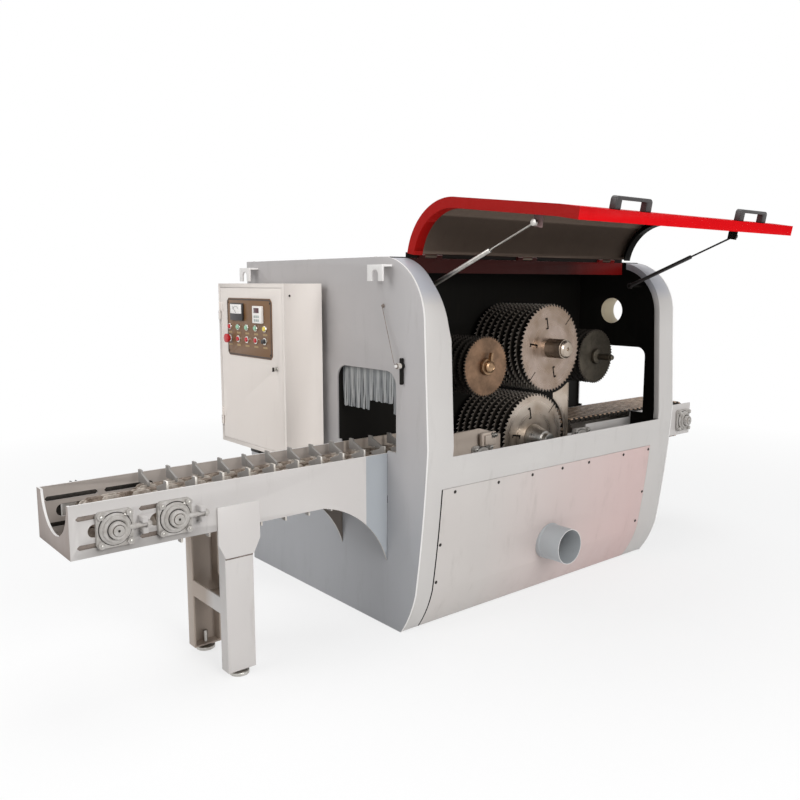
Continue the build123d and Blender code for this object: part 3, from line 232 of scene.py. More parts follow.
# Darker red for the lid's infeed end: painted shade.
rim_red_painted_shade = enamel("shaded_red_enamel", "9E1410", "8C100D", 0.5, "5A0A0A", specular=0.08)
# The hinge rail's red is darkened as painted shade, and lightens towards +X as painted light.
rail_red_painted_light_and_shade = enamel("red_enamel_painted_light_and_shade", "3C1512", "31100E", 0.5, "1A0C0A", specular=0.1,
                  fade=("X", 250, 690, "8C1210", 0.9))
lid_lining = enamel("brown_undercoat", "796A5F", "63564C", 0.6, "453A32", specular=0.1)
# Black enamel of the inside, and also painted shade in gaps, grooves, cuts and slots.
black_and_painted_shade = enamel("black_enamel_and_painted_shade", "1E1C19", "151412", 0.6, "3A342C", 0.3, specular=0.1)
# Pale pink on the red lid's strut bracket and on the hinge rail's top faces: painted highlight.
pink_painted_highlight = enamel("pale_red_painted_highlight", "E6C6C4", "D4B1AF", 0.5)
outlet_cream = enamel("cream_primer", "EADFC6", "DCCFB3", 0.5)
cabinet_cream = enamel("cream_powder_coat", "E2DAD3", "DAD1CA", 0.45, "9A9086", 0.12)
panel_brown = enamel("brown_printed_aluminium", "7A5836", "684829", 0.38, "4A3226")
panel_border = enamel("dark_brown_aluminium", "3E2A20", "332219", 0.38, "241812")
legend_tan = enamel("tan_engraving_plate", "A98E63", "977C54", 0.45, "6A5236")
flight_grey = enamel("grey_primer", "96928E", "7F7B77", 0.55, "5A4A3C", 0.5)

# Steels and castings
upper_blade_steel = ground_steel("upper_ground_saw_steel", "AA998E", "8F7C6C", UPPER_ARBOR, 0.3)
# The lower blades' steel is a lighter copy of the upper ones': painted highlight.
lower_blade_steel_painted_highlight = ground_steel("lower_saw_steel_painted_highlight", "C6BAAE", "AA9A8A", LOWER_ARBOR, 0.34)
# Dark steel for blades and discs behind the front ones, slot walls and the mat's dark ribs: painted shade.
dark_steel_painted_shade = metal("dark_steel_in_painted_shade", "453F39", "26221E", 0.5, 14, metallic=0.6)
# Blackened steel for screws and fittings, and also painted shade in the bearings' seams, the far slots and
# the centre holes.
black_steel_and_painted_shade = metal("blackened_steel_and_painted_shade", "35312D", "1E1B18", 0.5, 12, metallic=0.6)
tooth_bright = metal("filed_tooth_steel", "DCD6CE", "BDB4A9", 0.4, 10, metallic=0.3)
# Mid-dark tooth steel for the rims behind the front blade and the front wheel disc's edges: painted half
# shade.
tooth_steel_painted_half_shade = metal("tooth_steel_in_painted_half_shade", "857C73", "544C44", 0.45, 12, metallic=0.4)
hub_bronze = metal("brown_turned_steel", "A88A6C", "6E543E", 0.35, 30, metallic=0.85)
turned_steel = metal("turned_steel", "BDB1A4", "9A8B7C", 0.3, 60)
plated_steel = metal("zinc_plated_steel", "C9C7C2", "A6A29C", 0.32, 25)
bright_chrome = metal("chrome_plate", "E6E4E0", "CFCCC6", 0.14, 30, pits=0.02)
bronze_wheel = metal("tarnished_bronze_steel", "8A6D56", "65503F", 0.42, 70, metallic=0.8)
dark_wheel = metal("oil_blackened_steel", "5E574C", "403B33", 0.42, 60, metallic=0.8)
rusty_chain = metal("rusty_chain_steel", "AA9C8F", "5F5145", 0.6, 22, metallic=0.4, pits=0.35)
# Pale bare steel for the peg's ring, and also painted highlights on the near flight wings' edges.
bare_steel_wear_and_painted_highlight = metal("bare_steel_scuffs_and_painted_highlight", "E2DED8", "BDB6AC", 0.4, 16, metallic=0.5)
cast_grey = metal("cast_iron", "77736E", "5C5853", 0.55, 18, metallic=0.5, pits=0.4)
dusty_chain = metal("dusty_chain_steel", "CFC6BC", "8C8075", 0.55, 26, metallic=0.25, pits=0.35)
# Dull dusty steel for the pull wire, and also painted shade behind the trough's slots and under the stand's
# plate.
dull_steel_and_painted_shade = metal("dusty_steel_and_painted_shade", "857A72", "6A5F57", 0.55, 30, metallic=0.3)
mat_brown = metal("brown_rusty_slat_steel", "D8BDA3", "9A7B63", 0.55, 24, metallic=0.1, pits=0.3)
bearing_grey = metal("painted_cast_iron", "B4B0AC", "9A958F", 0.5, 24, metallic=0.0, pits=0.5)

# Plastics, rubber and vinyl
black_plastic = plastic("black_nylon", "221F1F", "343030", 0.42)
red_plastic = plastic("red_polycarbonate", "B3141C", "C42028", 0.25)
green_plastic = plastic("green_lens", "7FB492", "A5CDB2", 0.18)
yellow_plastic = plastic("yellow_lens", "D8C040", "E8D468", 0.18)
white_plastic = plastic("white_abs", "E8E4DF", "F0EDE9", 0.35)
screen_glass = plastic("dark_display_window", "5A2A34", "3E1C24", 0.12)
keypad_grey = plastic("grey_membrane_keys", "9AA39E", "AEB5B0", 0.45)
belt_rubber = plastic("black_belt_rubber", "1D1C1B", "2B2928", 0.75, 3)
strip_pale = vinyl("pale_soft_vinyl", "BEBFBE", "9B9D9E")
strip_smoky = vinyl("smoky_soft_vinyl", "989A9B", "717578")


# Places and shapes

def at(x, y, z, turn=0.0, axis="Y"):
    """A place in the frame, turned in degrees about an axis."""
    return Matrix.Translation((x, y, z)) @ Matrix.Rotation(radians(turn), 4, axis)


def facing_infeed(x, y, z):
    """A place for a shape drawn along Y whose -Y end is to face -X."""
    return at(x, y, z, -90, "Z")


def aimed(place, heading, axis, up="Y"):
    """A place in the frame, with an axis turned to a heading."""
    return Matrix.Translation(place) @ Vector(heading).to_track_quat(axis, up).to_matrix().to_4x4()


def put(name, data):
    """A new object in the scene."""
    thing = bpy.data.objects.new(name, data)
    scene.collection.objects.link(thing)
    return thing


def shape_mesh(bm, name="shape"):
    """Keep a finished shape as a mesh that can be stamped."""
    mesh = bpy.data.meshes.new(name)
    bm.to_mesh(mesh)
    bm.free()
    return mesh


def stamp(bm, shape, place=None, number=None):
    """Put a copy of a shape into another, in the finish of that number or in its own."""
    copy = shape.copy()
    if place is not None:
        copy.transform(place)
    if number is not None:
        copy.polygons.foreach_set("material_index", [number] * len(copy.polygons))
    bm.from_mesh(copy)
    bpy.data.meshes.remove(copy)


def round_edges(bm, width, segments=2, angle=30, edges=None):
    """Bevel the given edges of a shape, or those sharper than an angle in degrees."""
    if edges is None:
        edges = [e for e in bm.edges if e.is_manifold and e.calc_face_angle() > radians(angle)]
    bmesh.ops.bevel(bm, geom=edges, offset=width, offset_type="OFFSET", segments=segments, profile=0.5,
                    affect="EDGES", clamp_overlap=True, material=-1)


def grow(bm, faces, vec):
    """Extrude faces along a vector."""
    grown = bmesh.ops.extrude_face_region(bm, geom=faces)
    bmesh.ops.translate(bm, vec=vec, verts=[v for v in grown["geom"] if isinstance(v, bmesh.types.BMVert)])
    bmesh.ops.recalc_face_normals(bm, faces=bm.faces)


def box_shape(low, high, rounding=0.0, segments=2):
    """A box between two corners, with rounded edges."""
    bm = bmesh.new()
    low, high = Vector(low), Vector(high)
    bmesh.ops.create_cube(bm, size=1, matrix=at(*(low + high) / 2) @ Matrix.Diagonal((*(high - low), 1)))
    if rounding:
        round_edges(bm, rounding, segments)
    return shape_mesh(bm)


def slab_shape(outline, depth):
    """A flat plate from its outline in (x, z), lying from y 0 to y depth."""
    bm = bmesh.new()
    face = bm.faces.new([bm.verts.new((x, 0, z)) for x, z in outline])
    grow(bm, [face], (0, depth, 0))
    return shape_mesh(bm)


def ring_shape(profile, steps, closed=True):
    """A ring turned about the Y axis from the (y, radius) outline of its section."""
    bm = bmesh.new()
    verts = [bm.verts.new((r, y, 0)) for y, r in profile]
    following = verts[1:] + verts[:1] if closed else verts[1:]
    edges = [bm.edges.new(pair) for pair in zip(verts, following)]
    bmesh.ops.spin(bm, geom=verts + edges, cent=(0, 0, 0), axis=(0, 1, 0), dvec=(0, 0, 0), angle=2 * pi,
                   steps=steps, use_merge=True)
    bmesh.ops.remove_doubles(bm, verts=bm.verts, dist=0.001)
    bmesh.ops.recalc_face_normals(bm, faces=bm.faces)
    return shape_mesh(bm)


def turned_shape(profile, steps):
    """A solid turned about the Y axis from its (y, radius) steps."""
    return ring_shape([(profile[0][0], 0), *profile, (profile[-1][0], 0)], steps, closed=False)


def wire_run(start, end, radius):
    """A straight run of round wire or bar between two points."""
    bm = bmesh.new()
    start, end = Vector(start), Vector(end)
    along = end - start
    bmesh.ops.create_cone(bm, cap_ends=True, segments=10, radius1=radius, radius2=radius, depth=along.length,
                          matrix=aimed((start + end) / 2, along, "Z"))
    round_edges(bm, radius * 0.4, angle=60)
    return shape_mesh(bm)


def hex_shape(across, height):
    """A hexagon head from y -height to y 0."""
    bm = bmesh.new()
    corner = across * 0.577
    bmesh.ops.create_cone(bm, cap_ends=True, segments=6, radius1=corner, radius2=corner, depth=height,
                          matrix=at(0, -height / 2, 0, 90, "X"))
    round_edges(bm, 1.0, 1)
    return shape_mesh(bm)


def frame_shape(half_x, half_z, corner, width, depth):
    """A flat frame with cut corners about the origin, lying from y 0 to y depth."""
    bm = bmesh.new()
    outline = []
    for side_x, side_z in ((-1, -1), (1, -1), (1, 1), (-1, 1)):
        ends = [(side_x * (half_x - corner), side_z * half_z), (side_x * half_x, side_z * (half_z - corner))]
        outline += ends if side_x * side_z < 0 else ends[::-1]
    face = bm.faces.new([bm.verts.new((x, 0, z)) for x, z in outline])
    face.normal_update()
    bmesh.ops.inset_individual(bm, faces=[face], thickness=width)
    bmesh.ops.delete(bm, geom=[face], context="FACES")
    grow(bm, bm.faces[:], (0, depth, 0))
    return shape_mesh(bm)


def cut_away(mesh, cutter):
    """The first shape with the second one cut out of it."""
    body = put("cut_body", mesh)
    tool = put("cut_tool", cutter)
    modifier = body.modifiers.new("cut", "BOOLEAN")
    modifier.operation = "DIFFERENCE"
    modifier.object = tool
    left = bpy.data.meshes.new_from_object(body.evaluated_get(bpy.context.evaluated_depsgraph_get()))
    for thing in (body, tool):
        bpy.data.objects.remove(thing)
    return left


class Piece:
    """A piece in the making: its shape in millimetres, and the finishes that its faces can take."""

    def __init__(self, finishes, bm=None):
        self.finishes = finishes
        self.bm = bm or bmesh.new()

    def add(self, shape, place=None, finish=None):
        """Put in a copy of a shape, in one finish or in its own."""
        stamp(self.bm, shape, place, None if finish is None else self.finishes.index(finish))

    def paint(self, pick):
        """Give each face the finish that pick(middle, normal) returns."""
        for face in self.bm.faces:
            face.material_index = self.finishes.index(pick(face.calc_center_median(), face.normal))

    def finish(self, name, body, slot, replaces=None, smooth=35):
        """Bring the piece to metres and let it ride on a body, in place of a CAD node if one is named."""
        self.bm.transform(Matrix.Scale(0.001, 4))
        mesh = shape_mesh(self.bm, name)
        mesh.shade_smooth()
        mesh.set_sharp_from_angle(angle=radians(smooth))
        for material in self.finishes:
            mesh.materials.append(material)
        piece = put(name, mesh)
        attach(piece, body)
        if replaces:
            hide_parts(replaces)


def cad_copy(node):
    """A merged copy of a CAD node, in millimetres, with its flat faces joined."""
    bm = bmesh.new()
    bm.from_mesh(frame["nodes"][node].data)
    bm.transform(Matrix.Scale(1000, 4))
    bmesh.ops.remove_doubles(bm, verts=bm.verts, dist=0.01)
    bmesh.ops.dissolve_limit(bm, angle_limit=radians(0.5), verts=bm.verts, edges=bm.edges)
    return bm


def dress(node, slot, finishes, rounding=1.2, pick=None, cuts=(), extras=()):
    """Stand a softened copy of a CAD node in for it.

    pick(middle, normal) chooses the finish of a face, cuts are the x of planes that part its faces first,
    and extras are shapes fixed to it, as (shape, place, finish).
    """
    bm = cad_copy(node)
    for x in cuts:
        bmesh.ops.bisect_plane(bm, geom=[*bm.verts, *bm.edges, *bm.faces], plane_co=(x, 0, 0),
                               plane_no=(1, 0, 0))
    piece = Piece(finishes, bm)
    if pick:
        piece.paint(pick)
    round_edges(bm, rounding)
    for shape, place, finish in extras:
        piece.add(shape, place, finish)
    piece.finish(f"{node}_dressed", frame["nodes"][node]["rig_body"], slot, node)


# Housing: the end plates' inner faces, the dust outlet as (y, z), the top and the back
INFEED_INSIDE, OUTFEED_INSIDE = -801, 821
DUST_OUTLET = (-288, 1254)
OUTLET_BORE = 67
TOP_Z = 1500
BACK_Y = 672


def infeed_plate_finish(middle, normal):
    """Black on the side that looks into the machine, and pale as painted highlights on the rim and the
    lifting lugs.
    """
    if middle.x > INFEED_INSIDE or (middle.x > INFEED_INSIDE - 1.5 and normal.x > 0.3):
        return black_and_painted_shade
    return pale_scuffs_and_painted_highlights if middle.x < -812 or (abs(normal.x) < 0.3 and middle.y < -440) else end_grey_painted_shade


def outfeed_plate_finish(middle, normal):
    """Black on the side that looks into the machine, pale as painted highlights on the rim, and primer in the
    dust outlet.
    """
    if abs(normal.x) < 0.3 and hypot(middle.y - DUST_OUTLET[0], middle.z - DUST_OUTLET[1]) < OUTLET_BORE:
        return outlet_cream
    if middle.x < OUTFEED_INSIDE or (middle.x < OUTFEED_INSIDE + 1.5 and normal.x < -0.3):
        return black_and_painted_shade
    return pale_scuffs_and_painted_highlights if abs(normal.x) < 0.3 and middle.y < -490 else end_grey_painted_shade


def top_cover_finish(middle, normal):
    """Black underneath, and black on the turned-up edge behind the lid's hinge as painted shade in the gap.
    """
    turned_up = middle.y < -433 and middle.z > TOP_Z + 0.5
    return black_and_painted_shade if normal.z < -0.5 or turned_up else housing_grey


screw_head = turned_shape([(-3.0, 2.5), (-2.4, 5.5), (-1.0, 7), (0.5, 7)], 16)


def screws_on(node, places, finish):
    """Screw heads seated on the front of a node, from their (x, z) places."""
    bm = cad_copy(node)
    surface = BVHTree.FromBMesh(bm)
    bm.free()
    far_in_front = -2000
    screws = []
    for x, z in places:
        spot, normal, _, _ = surface.ray_cast((x, far_in_front, z), (0, 1, 0))
        screws.append((screw_head, aimed(spot, normal, "-Y", "Z"), finish))
    return screws


dress("infeed_end_plate", "light_paint", [end_grey_painted_shade, black_and_painted_shade, pale_scuffs_and_painted_highlights], 1.6, infeed_plate_finish)
dress("outfeed_end_plate", "light_paint", [end_grey_painted_shade, black_and_painted_shade, pale_scuffs_and_painted_highlights, outlet_cream], 1.6,
      outfeed_plate_finish)
dress("front_skin", "light_paint", [skin_grey_painted_shade, black_and_painted_shade], 0.9,
      lambda middle, normal: black_and_painted_shade if normal.y > 0.2 else skin_grey_painted_shade)

# Lower panel: black on its back, and black along the seam at its infeed end as painted shade in the gap
PANEL_SEAM_X = -716
panel_screws = [(x, 586) for x in (-650, -404, -196, 2, 189, 452, 655)]
panel_screws += [(655, 367), (640, 214), (-705, 375), (-705, 214)]
dress("lower_front_panel", "light_paint", [panel_grey_painted_reflection, black_and_painted_shade, black_steel_and_painted_shade], 0.9,
      lambda middle, normal: black_and_painted_shade if normal.y > 0.2 or middle.x < PANEL_SEAM_X else panel_grey_painted_reflection,
      cuts=[PANEL_SEAM_X], extras=screws_on("lower_front_panel", panel_screws, black_steel_and_painted_shade))

port_mouth_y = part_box("dust_port")[0][1] * 1000
# The port's mouth rim is pale: painted highlight.
dress("dust_port", "light_paint", [port_grey, pale_scuffs_and_painted_highlights], 0.8,
      lambda middle, normal: pale_scuffs_and_painted_highlights if middle.y < port_mouth_y + 1.5 else port_grey)

# Top cover: two seams across it, as black strips of painted shade, and rows of screws
top_trim = [(box_shape((x - 1.5, -430, TOP_Z - 1), (x + 1.5, 667, TOP_Z + 0.3), 0.2, 1), None, black_and_painted_shade)
            for x in (-266, 276)]
for x in (-786, -540, -290, -242, 10, 252, 300, 550, 806):
    top_trim += [(screw_head, at(x, y, TOP_Z, -90, "X"), plated_steel) for y in (-330, 150, 640)]
dress("top_cover", "light_paint", [housing_grey, black_and_painted_shade, plated_steel], 0.9, top_cover_finish,
      extras=top_trim)

# Back panel: two flush doors with louvres, slotted latches and sunk screws
BACK_X = (-802, 822)
SHEET = 4
SUNK = 2
DOORS = [(-392, 690), (412, 690)]
DOOR_HALF = (370, 610)
LOUVRES, LOUVRE_PITCH = 7, 22
louvre_places = [(x, z + base) for x, z in DOORS for base in (-470, 330)]
latch_places = [(x + side, z + rise) for x, z in DOORS for side in (-345, 345) for rise in (-430, 430)]
back_screws = [(x, z) for x in (-786, 10, 806) for z in (40, 380, 720, 1060, 1400)]
back_screws += [(x, z) for x in (-520, -260, 280, 540) for z in (30, 1400)]
door_seam = frame_shape(*DOOR_HALF, corner=16, width=3, depth=9)
louvre = box_shape((-120, -9, -5), (120, 9, 5))
latch_cup = turned_shape([(-2, 17), (9, 17)], 28)
screw_cup = turned_shape([(-1.5, 8), (9, 8)], 16)
cutter = bmesh.new()
for x, z in DOORS:
    stamp(cutter, door_seam, at(x, BACK_Y - 1.5, z))
for x, z in louvre_places:
    for side in (-150, 150):
        for k in range(LOUVRES):
            stamp(cutter, louvre, at(x + side, BACK_Y, z + LOUVRE_PITCH * k))
for x, z in latch_places:
    stamp(cutter, latch_cup, at(x, BACK_Y, z))
for x, z in back_screws:
    stamp(cutter, screw_cup, at(x, BACK_Y, z))
back_sheet = box_shape((BACK_X[0], BACK_Y - SHEET, 0), (BACK_X[1], BACK_Y, TOP_Z), 0.6, 1)


def back_finish(middle, normal):
    """Enamel on the outside and the border, black on the inside, and black in the cuts as painted shade."""
    at_border = min(middle.x - BACK_X[0], BACK_X[1] - middle.x, middle.z, TOP_Z - middle.z) < 1
    outside = normal.y > 0.5 and middle.y > BACK_Y - 0.5
    return housing_grey if at_border or outside else black_and_painted_shade


back = Piece([housing_grey, black_and_painted_shade, plated_steel])
back.add(cut_away(back_sheet, shape_mesh(cutter)))
back.paint(back_finish)
# Black boxes behind the louvres: painted shade.
for x, z in louvre_places:
    back.add(box_shape((x - 285, BACK_Y - SHEET - 3, z - 15),
                       (x + 285, BACK_Y - SHEET + 0.2, z + LOUVRE_PITCH * (LOUVRES - 1) + 15), 0.5),
             finish=black_and_painted_shade)
latch = turned_shape([(-1.9, 13.5), (-1.2, 14.5), (1, 14.5)], 28)
# Each latch's slot is a black bar: painted shade.
latch_slot = box_shape((-12, -1.98, -1.6), (12, 0, 1.6), 0.2, 1)
for k, (x, z) in enumerate(latch_places):
    seat = at(x, BACK_Y - SUNK, z, 180, "Z")
    back.add(latch, seat, plated_steel)
    back.add(latch_slot, seat @ at(0, 0, 0, 90 + 7 * (k % 3)), black_and_painted_shade)
for x, z in back_screws:
    back.add(screw_head, at(x, BACK_Y - 2.9, z, 180, "Z") @ Matrix.Scale(0.9, 4), plated_steel)
back.finish("back_panel_dressed", "machine", "light_paint", "back_panel")

dress("machine_frame", "dark_paint", [black_and_painted_shade], 2.0)
# The hinge rail's top faces are pale pink: painted highlight.
dress("hinge_rail", "red_paint", [rail_red_painted_light_and_shade, pink_painted_highlight], 0.8,
      lambda middle, normal: pink_painted_highlight if normal.z > 0.5 and middle.z > 1490 else rail_red_painted_light_and_shade)

# Lid: red outside, rims and lip, brown undercoat inside, painted shade at both ends; hinge and upper strut
# pins as (y, z)
HINGE = (-446, 1505)
LID_OPEN = 79.8
LID_X = (-719.5, 688)
LID_END = 60
LIP_Z = 705
STRUT_X = (-655, 660)
STRUT_HIGH = (-1040, 1602)


def lid_finish(middle, normal):
    """Undercoat on the hollow side, red on the outside and the lip, the strut brackets apart, and painted
    shade at the ends: darker red at the infeed end, black on the inner faces at the outfeed end.
    """
    if abs(middle.y - STRUT_HIGH[0]) < 45 and abs(middle.z - STRUT_HIGH[1]) < 45:
        for finish, x in zip((pink_painted_highlight, black_plastic), STRUT_X):
            if abs(middle.x - x) < 32:
                return finish
    shut = Matrix.Rotation(radians(LID_OPEN), 3, "X")
    facing = shut @ normal
    place = shut @ (middle - Vector((0, *HINGE)))
    # The outfeed end's inner faces are black: painted shade.
    if middle.x > LID_X[1] - LID_END:
        return lid_red if normal.x > 0.5 or facing.y < -0.3 or facing.z > 0.5 else black_and_painted_shade
    # The whole infeed end of the lid takes the darker red: painted shade.
    if middle.x < LID_X[0] + LID_END:
        return rim_red_painted_shade
    if place.z + HINGE[1] < LIP_Z + 3.2:
        return lid_red
    return lid_lining if facing.y > 0.05 or facing.z < -0.3 else lid_red


dress("lid_shell", "red_paint", [lid_red, lid_lining, pink_painted_highlight, black_plastic, black_and_painted_shade, rim_red_painted_shade],
      0.8, lid_finish)
dress("lid_handles", "black_plastic", [black_plastic], 3.0)
for side, finish in (("left", plated_steel), ("right", black_plastic)):
    dress(f"{side}_strut_tube", "steel", [finish], 0.8)
    dress(f"{side}_strut_rod", "steel", [finish], 0.5)


# Saw blades
BLADE_R, BLADE_T, BLADE_TEETH = 206, 5, 60
BLADE_YS = [-430 + 38 * k for k in range(9)]
BEHIND_FRONT = BLADE_YS[0] + 6


def toothed_shape(radius, teeth, gullet, bore, thickness, hook=0.16):
    """A toothed disc about the Y axis: one tooth's sector, turned round and given its thickness."""
    step = 2 * pi / teeth
    root = radius - gullet - 2
    web = [(bore, 0), (root, 0), (root, step), (bore, step)]
    tooth = [(root, 0), (radius, 0), (radius - gullet * 0.55, hook * 0.5 * step),
             (radius - gullet, hook * 1.6 * step), (radius - gullet * 0.92, 0.5 * step),
             (radius - gullet * 0.4, 0.85 * step), (radius, step), (root, step)]
    bm = bmesh.new()
    sector = [bm.faces.new([bm.verts.new((r * cos(a), 0, r * sin(a))) for r, a in outline])
              for outline in (web, tooth)]
    bmesh.ops.spin(bm, geom=sector, cent=(0, 0, 0), axis=(0, -1, 0), dvec=(0, 0, 0), angle=2 * pi - step,
                   steps=teeth - 1, use_duplicate=True, use_merge=False)
    bmesh.ops.remove_doubles(bm, verts=bm.verts, dist=0.01)
    bmesh.ops.recalc_face_normals(bm, faces=bm.faces)
    grow(bm, bm.faces[:], (0, thickness, 0))
    return shape_mesh(bm)


def expansion_slots():
    """Cutter for the bracket-shaped slots and the rim slots of a front blade."""
    bracket = slab_shape([(-27, -4), (27, -4), (27, 13), (19, 13), (19, 4), (-19, 4), (-19, 13), (-27, 13)],
                         20)
    rim_slot = slab_shape([(-24, -2.2), (45, -2.2), (45, 2.2), (-24, 2.2)], 20)
    bm = bmesh.new()
    for slot, radius, turns in ((bracket, 118, (102, 170, 283, 350)), (rim_slot, 172, (45, 226))):
        for turn in turns:
            stamp(bm, slot, at(0, 0, 0, -turn) @ at(radius, -8, 0))
    return shape_mesh(bm)


blade = toothed_shape(BLADE_R, BLADE_TEETH, gullet=13, bore=45.1, thickness=BLADE_T)
front_blade = cut_away(blade.copy(), expansion_slots())


def blade_stack(name, centre, steel):
    """The blades of an arbor: the front one ground bright, those behind it darkened as painted shade."""
    x, z = centre

    # Behind the front blade the rims are mid-dark and the rest dark: painted shade.
    def blade_finish(middle, normal):
        rim = hypot(middle.x - x, middle.z - z)
        if abs(normal.y) < 0.5:
            return tooth_bright if rim > BLADE_R - 9 else dark_steel_painted_shade
        if middle.y > BEHIND_FRONT:
            return tooth_steel_painted_half_shade if rim > BLADE_R - 15 else dark_steel_painted_shade
        return steel

    stack = Piece([steel, dark_steel_painted_shade, tooth_bright, tooth_steel_painted_half_shade])
    for k, y in enumerate(BLADE_YS):
        stack.add(blade if k else front_blade, at(x, y - BLADE_T / 2, z, 3.7 * k))
    stack.paint(blade_finish)
    stack.finish(f"{name}_saw_blades", f"{name}_arbor", "blade_steel", f"{name}_blades", smooth=25)


blade_stack("upper", UPPER_ARBOR, upper_blade_steel)
blade_stack("lower", LOWER_ARBOR, lower_blade_steel_painted_highlight)
dress("upper_arbor_shaft", "steel", [turned_steel], 1.0)
dress("upper_arbor_cap", "steel", [turned_steel], 0.8)
dress("lower_arbor_shaft", "steel", [turned_steel], 1.0)
dress("lower_arbor_nut", "steel", [plated_steel], 1.2)
dress("riving_plate", "blade_steel", [lower_blade_steel_painted_highlight], 0.8)
dress("arbor_housings", "cast_iron", [cast_grey], 2.0)

# Press wheels
WHEEL_T = 8
wheel_disc = toothed_shape(133, 56, gullet=10, bore=29.5, thickness=WHEEL_T, hook=0.3)


def press_wheels(name, centre, slot, face_finish, hub_finish, near_end, trim=()):
    """Toothed discs on their hub, from the hub's near end in (y, radius) steps and trim as (shape, turn)."""
    x, z = centre

    # Discs behind the front one are dark, and the front disc's edges mid-dark: painted shade.
    def disc_finish(middle, normal):
        if middle.y > BEHIND_FRONT:
            return dark_steel_painted_shade
        return tooth_steel_painted_half_shade if abs(normal.y) < 0.5 else face_finish

    wheels = Piece([face_finish, hub_finish, dark_steel_painted_shade, tooth_steel_painted_half_shade])
    for k, y in enumerate(BLADE_YS[:7]):
        wheels.add(wheel_disc, at(x, y - WHEEL_T / 2, z, 2.1 * k))
    wheels.paint(disc_finish)
    hub = turned_shape([*near_end, (-434, 30), (-192, 30), (-192, 20), (-84, 20)], 40)
    for shape, turn in ((hub, 0), *trim):
        wheels.add(shape, at(x, 0, z, turn), hub_finish)
    wheels.finish(f"{name}_toothed_wheels", f"{name}_wheels", slot, f"{name}_press_wheels", smooth=25)
    dress(f"{name}_press_arm", "cast_iron", [cast_grey], 1.5)


hub_ring = ring_shape([(-466.5, 17), (-468, 19), (-466.5, 22), (-465, 22), (-465, 17)], 40)
hub_key = box_shape((-7, -464, 24), (7, -446, 62), 2.5)
hub_flange = [(-452, 36), (-450, 38), (-436, 38)]
press_wheels("front", (-262, 1038), "bronze_steel", bronze_wheel, hub_bronze,
             [(-466, 22), (-463, 26), (-452, 26), *hub_flange, (-434, 36)], [(hub_ring, 0), (hub_key, 12)])
press_wheels("rear", (507, 1039), "steel", dark_wheel, dark_wheel,
             [(-536, 9), (-533, 12), (-520, 12), (-520, 16), (-456, 16), *hub_flange])

for node in ("drive_motors", "upper_motor_pulley", "lower_motor_pulley"):
    dress(node, "cast_iron", [cast_grey], 1.5)
dress("drive_belts", "belt_rubber", [belt_rubber], 0.8)


# Conveyors
FEED_Y = -270
NEAR_WALL, FAR_WALL = -430, -110
SHAFT_Z = 634
SHAFTS = {"idler": -1915, "tail": -1715, "head": -285, "outfeed_tail": 400, "outfeed_head": 1310}
IDLER_X, TAIL_X, HEAD_X, OUT_TAIL_X, OUT_HEAD_X = SHAFTS.values()
# x span of the near plate's strip in painted shade
SHADED_STRIP_X = (-916, -700)
END_BOARD_X = -2043


def between_walls(middle):
    """Whether a face of a trough lies between its side plates."""
    return NEAR_WALL + 4 < middle.y < FAR_WALL - 4


def trough_finish(middle, normal):
    """Dusty between the side plates, pale on the top edges as scuffs and painted highlights, and the plates
    at both ends apart, with the end board and a strip of the near plate by the housing darker as painted
    shade.
    """
    if middle.x > INFEED_INSIDE - 1:
        return dusty_tan
    board_edge = middle.x < -2040 and abs(normal.x) < 0.5 and normal.z > 0.1
    if board_edge or (normal.z > 0.9 and middle.z > 720):
        return pale_scuffs_and_painted_highlights
    if between_walls(middle):
        return trough_inside if middle.x > END_BOARD_X else end_board_grey_painted_shade
    return near_plate_blue_painted_shade if middle.y < NEAR_WALL + 4 and SHADED_STRIP_X[0] < middle.x < SHADED_STRIP_X[1] else trough_grey


# Flange bearings: each step's height above the wall, its ring and the inner and outer radius of its seam, a
# dark ring of painted shade
FLANGE = 14
BOLT_OFFSET = 46
bearing_steps = [
    (FLANGE, ring_shape([(0, 51), (-4, 51), (-7, 48), (-8, 44), (-8, 41.8), (0, 41.8)], 48), 51.3, 54),
    (30, ring_shape([(0.5, 40), (-2, 39), (-3, 36), (-2, 33), (0.5, 32)], 48), 28.2, 31),
    (46, ring_shape([(0.5, 27), (-1.5, 26), (-2.5, 23), (-1.5, 19.5), (0.5, 18.5)], 40), 17.6, 18.8)]
bolt_head = hex_shape(21, 9)
washer = turned_shape([(-2.5, 11), (-1.8, 12), (0, 12)], 20)
stud = turned_shape([(-15, 4), (-14, 5), (0, 5)], 12)
nipple = turned_shape([(-13, 1.5), (-11, 3), (-9, 2), (-8, 4.5), (0, 4.5)], 12)


def bearing_trim(x, wall, side):
    """Shoulder rings, seams of painted shade between them, bolts and grease nipple of a flange bearing, as
    extras.
    """
    place = at(x, wall + side * 0.2, SHAFT_Z, 0 if side < 0 else 180, "Z")
    trim = [(nipple, place @ at(32, -FLANGE, 41), plated_steel)]
    for height, ring, inner, outer in bearing_steps:
        seam = ring_shape([(0.3, outer), (-0.8, outer), (-0.8, inner), (0.3, inner)], 40)
        step = place @ at(0, -height, 0)
        trim += [(ring, step, bearing_grey), (seam, step, black_steel_and_painted_shade)]
    for across in (-BOLT_OFFSET, BOLT_OFFSET):
        for rise in (-BOLT_OFFSET, BOLT_OFFSET):
            corner = place @ at(across, -FLANGE, rise)
            trim += [(washer, corner, bearing_grey), (stud, corner, plated_steel),
                     (bolt_head, corner @ at(0, -2.5, 0, across / 3 + rise), bearing_grey)]
    return trim


def shaft_finish(middle, normal):
    """Blackened outer wheel at the far end, and paint over the near end."""
    if middle.y > -62:
        return black_steel_and_painted_shade
    return bearing_grey if middle.y < -470 else turned_steel


